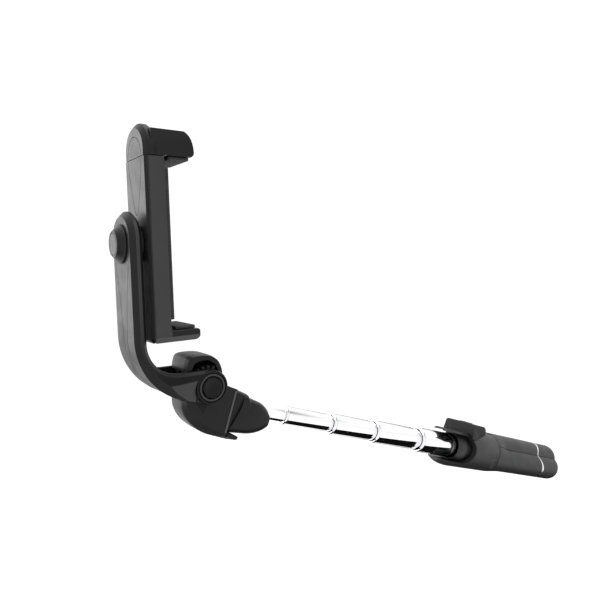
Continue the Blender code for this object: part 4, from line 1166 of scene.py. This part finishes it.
def head_hollow():
    """Side view of the space for the arm's knuckle, open towards the arm."""
    barrel = arc((0, 0), 8.1, 40, 205, 40)
    inside = curved([(-9.2, 6.7), (-7.5, 10.4), (-6.0, 12.0), (-2.8, 12.7), (1.0, 12.2), (3.9, 10.2)], 6)
    return [(-22.0, 16.0)] + inside + barrel + [(-22.0, -9.6)]


def strip_view(start, end, top, low):
    """Upright rectangle on the tube's axis, in HINGE."""
    return [from_stick(s, v) for s, v in ((start, top), (start, low), (end, low), (end, top))]


def head():
    """Two halves of the head: hood with its teeth, rib, groove, and bores for axle, tube and screws."""
    outline = head_outline()
    for side, word in ((-1, "near"), (1, "far")):
        levels = [(0.03, 0.0), (5.0, 0.0), (5.7, 0.08), (6.4, 0.26), (8.35, 0.93), (8.55, 1.0)]
        levels = (levels + [(HEAD_HALF, 1.06)])[::side]
        shape = stepped([(inset(outline, share), side * y) for y, share in levels], "y")
        tools = cuts(
            prism(head_hollow(), 3.0 if side > 0 else -BEYOND, BEYOND, "y"),
            rod(AXLE_BORE, -BEYOND, BEYOND, "y", sides=48),
            rod(7.5, *span(side, HEAD_HALF - 0.7, BEYOND), "y", sides=96),
            moved(rod(SOCKET_BORE, 11, 60, sides=96), between_frames(STICK, HINGE)),
            prism(strip_view(16.1, 17.2, 11.0, -15.6), *span(side, HEAD_HALF - 1.1, BEYOND), "y"),
        )
        for middle in SCREWS.values():
            spot = (middle.x, 0, middle.z)
            tools += cuts(rod(1.4, -6, BEYOND, "y", spot, 32))
            if side > 0:
                tools += cuts(rod(2.6, HEAD_HALF - 1.6, BEYOND, "y", spot, 48))
        rib = strip_view(14.9, 15.9, 8.2, -12.6)
        tools += joins(prism(rib, *span(side, 8.0, HEAD_HALF + 0.35), "y", 0.15))
        if side < 0:
            lug = [(-7.0, -6.6), (-1.0, -8.4), (-2.4, -12.4), (-3.4, -12.4)]
            tools += joins(prism(lug, -HEAD_HALF - 0.35, -7.5, "y", 0.15))
        low, high = span(side, 0.1, HEAD_HALF - 0.6)
        for number in range(5):
            tooth = block((7.4, low, -0.8), (9.9, high, 0.8), 0.2)
            tools += joins(moved(tooth, Matrix.Rotation(-radians(70 + 17 * number), 4, "Y")))
        # painted shade: the head's sides are in the shaded black
        made = piece(
            f"head_half_{word}", combined(shape, tools), HINGE, f"head_shell_{word}", SHADED_BLACK, edge=0.16
        )

        def lit_rim(centre, normal):
            outside = centre.z < -7 or hypot(centre.x, centre.z) > 13.3
            return outside and abs(normal.y) < 0.85 and abs(centre.y) < HEAD_HALF - 0.2

        # painted light: the rim faces take a lighter black than the shaded sides
        paint(made, RIM_BLACK, lit_rim)
        # painted light on the rib
        paint(made, LIT_STRIP_BLACK, lambda centre, normal: abs(centre.y) > HEAD_HALF + 0.2 and centre.x > 4)
        # painted shade on the lug, in the darker gloss black
        paint(made, GLOSS_BLACK, lambda centre, normal: abs(centre.y) > HEAD_HALF + 0.2 and centre.x < 2)

        radius, inner, outer = turned_limits(f"friction_washer_{word}")
        bore, ease = 2.8, 0.12
        profile = [(radius, outer - ease), (radius - ease, outer), (bore, outer)]
        profile += [(bore, inner), (radius, inner)]
        washer = side_lathe(profile, side)
        piece(f"head_washer_{word}", washer, HINGE, f"friction_washer_{word}", BLACK_NYLON, 35)


def screws():
    """Cross-headed screws that hold the two halves of the head."""
    for node, middle in SCREWS.items():
        low, high = limits(node, HINGE)
        top, wide, shank = high.y, high.x - middle.x, 1.2
        rim = ((0.7, 0.05), (0.2, 0.3), (0, 0.6), (0, 1.2))
        profile = [(0, top - 0.02)] + [(wide - r, top - drop) for r, drop in rim]
        profile += [(shank, top - 1.2), (shank, low.y + 0.3), (shank - 0.3, low.y), (0, low.y)]
        slots = [
            block((middle.x - x, top - 0.7, middle.z - z), (middle.x + x, top + 1, middle.z + z), 0.08, 1)
            for x, z in ((1.5, 0.32), (0.32, 1.5))
        ]
        shape = combined(lathe(profile, 64, "y", (middle.x, 0, middle.z)), cuts(*slots))
        piece(node.replace("head", "cross"), shape, HINGE, node, DARK_STEEL)


def neck():
    """Cone from the head to the first tube, with a bowed recess on each side behind the head's rib."""
    start, length, end = NECK_AT + 0.3, 24.2, 41.5
    crown = [(start, 8.7), (21.0, 8.1), (25.2, 7.3), (26.0, 6.6), (27.0, 5.9), (31.0, 5.1), (35.5, 4.2)]
    keel = [(start, -12.9), (21.0, -12.95), (26.0, -12.8), (31.0, -12.5), (35.5, -11.6), (39.2, -10.2)]
    tops, lows = curved(crown + [(39.2, 2.4), (end, 0.2)], 5), curved(keel + [(end, -8.6)])

    def section(s, at, wide, power, share=1):
        """Loop at s, with the heights of the cone at another place and a share of its size."""
        top, low = read_off(tops, at), read_off(lows, at)
        outline = superellipse((top - low) / 2, wide, power, 72)
        return [(-(top + low) / 2 - v * share, y * share, s) for v, y in outline]

    loops = []
    for s in [start + length * i / 40 for i in range(41)]:
        t = (s - start) / length
        loops.append(section(s, s, 8.3 * (1 - 0.36 * t**2.8), 4.2 - 1.6 * t))
    loops += [section(s, end, 5.3, 2.6, share) for s, share in ((42.0, 0.94), (42.35, 0.85), (42.5, 0.7))]
    bow = curved([(21.6, 10.0), (21.9, 6.0), (21.4, 1.0), (20.0, -4.0), (18.4, -9.0), (17.0, -13.4)])
    recess = [(-v, s) for s, v in bow] + [(14.0, 12.0), (-10.0, 12.0)]
    tools = []
    for side in (-1, 1):
        tools += cuts(loft([[(x, y, z) for x, z in recess] for y in span(side, 7.2, BEYOND)]))
    tools += cuts(rod(SOCKET_BORE, 10, 60, sides=96))
    # painted shade: the cone is in the shaded black
    piece("neck_cone", combined(loft(loops), tools), STICK, "neck_socket", SHADED_BLACK, 35, 0.12)


handle_parts = (tubes, hub, legs, remote)
clamp_parts = (back_plate, bar, pads, upper_jaw, swivel, springs)
for build in handle_parts + clamp_parts + (arm, pivot, head, screws, neck):
    build()


# ---- stage
STUDIO_WHITE = 1.1
FLOOR_DROP = 0.16
CAMERA_AT = (-0.0978, -0.2395, -0.0069)
CAMERA_TURN, CAMERA_TILT, CAMERA_ROLL = -36.216, 4.659, -1.397
CARD_AT, CARD_AIM, CARD_SIZE = (0.42, -0.20, 0.12), (0.06, 0.0, -0.09), 0.44


def area_light(name, place, aim, size, power):
    light = bpy.data.lights.new(name, "AREA")
    light.shape = "RECTANGLE"
    light.size, light.size_y = size
    light.energy = power
    made = linked(name, light)
    made.location = place
    made.rotation_euler = (Vector(aim) - Vector(place)).to_track_quat("-Z", "Y").to_euler()


def staged(name, matrix, material, cells=1, size=0.5):
    """Flat square that belongs to the stage, in metres."""
    shape = bmesh.new()
    bmesh.ops.create_grid(shape, x_segments=cells, y_segments=cells, size=size)
    shape.transform(matrix)
    made = as_object(shape, name)
    made.data.materials.append(material)
    return made


def only_reflected(made):
    made.visible_camera = False
    made.visible_diffuse = False
    made.visible_shadow = False
    made.visible_transmission = False


def reflected_card():
    """Card seen only in reflections, grey in the middle and fading to the studio's white."""
    place, size = CARD_AT, CARD_SIZE
    facing = (Vector(CARD_AIM) - Vector(place)).normalized()
    along = (ALONG - facing * ALONG.dot(facing)).normalized()
    turn = Matrix((along, facing.cross(along), facing)).transposed().to_4x4()
    grey, tree, shader = node_tree("card_grey")
    where = added(tree, "NewGeometry")
    away = added(tree, "VectorMath", {0: where.outputs["Position"], 1: place}, operation="DISTANCE")
    glow = spread(tree, away.outputs["Value"], 0.2, STUDIO_WHITE, size * 0.2, size * 0.5)
    fill(tree, shader, {
        "Emission Strength": glow, "Emission Color": WHITE,
        "Base Color": (0, 0, 0), "Specular IOR Level": 0.0,
    })
    card_place = Matrix.Translation(place) @ turn @ Matrix.Diagonal((size, size, 1, 1))
    only_reflected(staged("studio_card", card_place, grey))


def stage():
    """Pale floor, white surroundings, two softboxes and the camera at the photo's viewing angle."""
    centre = (CAD_BOX[0] + CAD_BOX[1]) / 2
    ground = CAD_BOX[0].z - FLOOR_DROP
    pale, tree, shader = node_tree("pale_floor")
    tone = spread(tree, noise(tree, 3.0, 2.0), 0.0, 1.0)
    colour = blended(tree, tone, (0.93, 0.93, 0.93), (0.96, 0.96, 0.96))
    fill(tree, shader, {"Base Color": colour, "Roughness": 0.9})
    staged("floor", Matrix.Translation((0, 0, ground)), pale, 8, 6.0)

    black, tree, shader = node_tree("flag_black")
    fill(tree, shader, {"Base Color": (0.004, 0.004, 0.004), "Roughness": 0.9, "Specular IOR Level": 0.0})
    flag_place = Matrix.Translation((centre.x, 0.02, ground + 0.01)) @ Matrix.Diagonal((1.6, 0.27, 1, 1))
    only_reflected(staged("studio_flag", flag_place, black))

    world = bpy.data.worlds.new("studio")
    bpy.context.scene.world = world
    world.use_nodes = True
    fill(world.node_tree, world.node_tree.nodes["Background"], {"Color": WHITE, "Strength": STUDIO_WHITE})
    reflected_card()
    area_light("key_softbox", (-0.42, 0.62, 0.12), (0.0, 0.0, -0.02), (0.7, 0.9), 3.2)
    area_light("top_softbox", (0.1, 0.0, 0.7), centre, (0.9, 0.6), 3.0)

    lens = bpy.data.cameras.new("camera")
    lens.sensor_width = 36.0
    lens.lens = 32.7
    lens.clip_start = 0.01
    camera = linked("camera", lens)
    camera.matrix_world = (
        Matrix.Translation(CAMERA_AT)
        @ Matrix.Rotation(radians(CAMERA_TURN), 4, "Z")
        @ Matrix.Rotation(radians(90 - CAMERA_TILT), 4, "X")
        @ Matrix.Rotation(radians(CAMERA_ROLL), 4, "Z")
    )
    bpy.context.scene.camera = camera
    bpy.context.scene.view_settings.view_transform = "Standard"


stage()
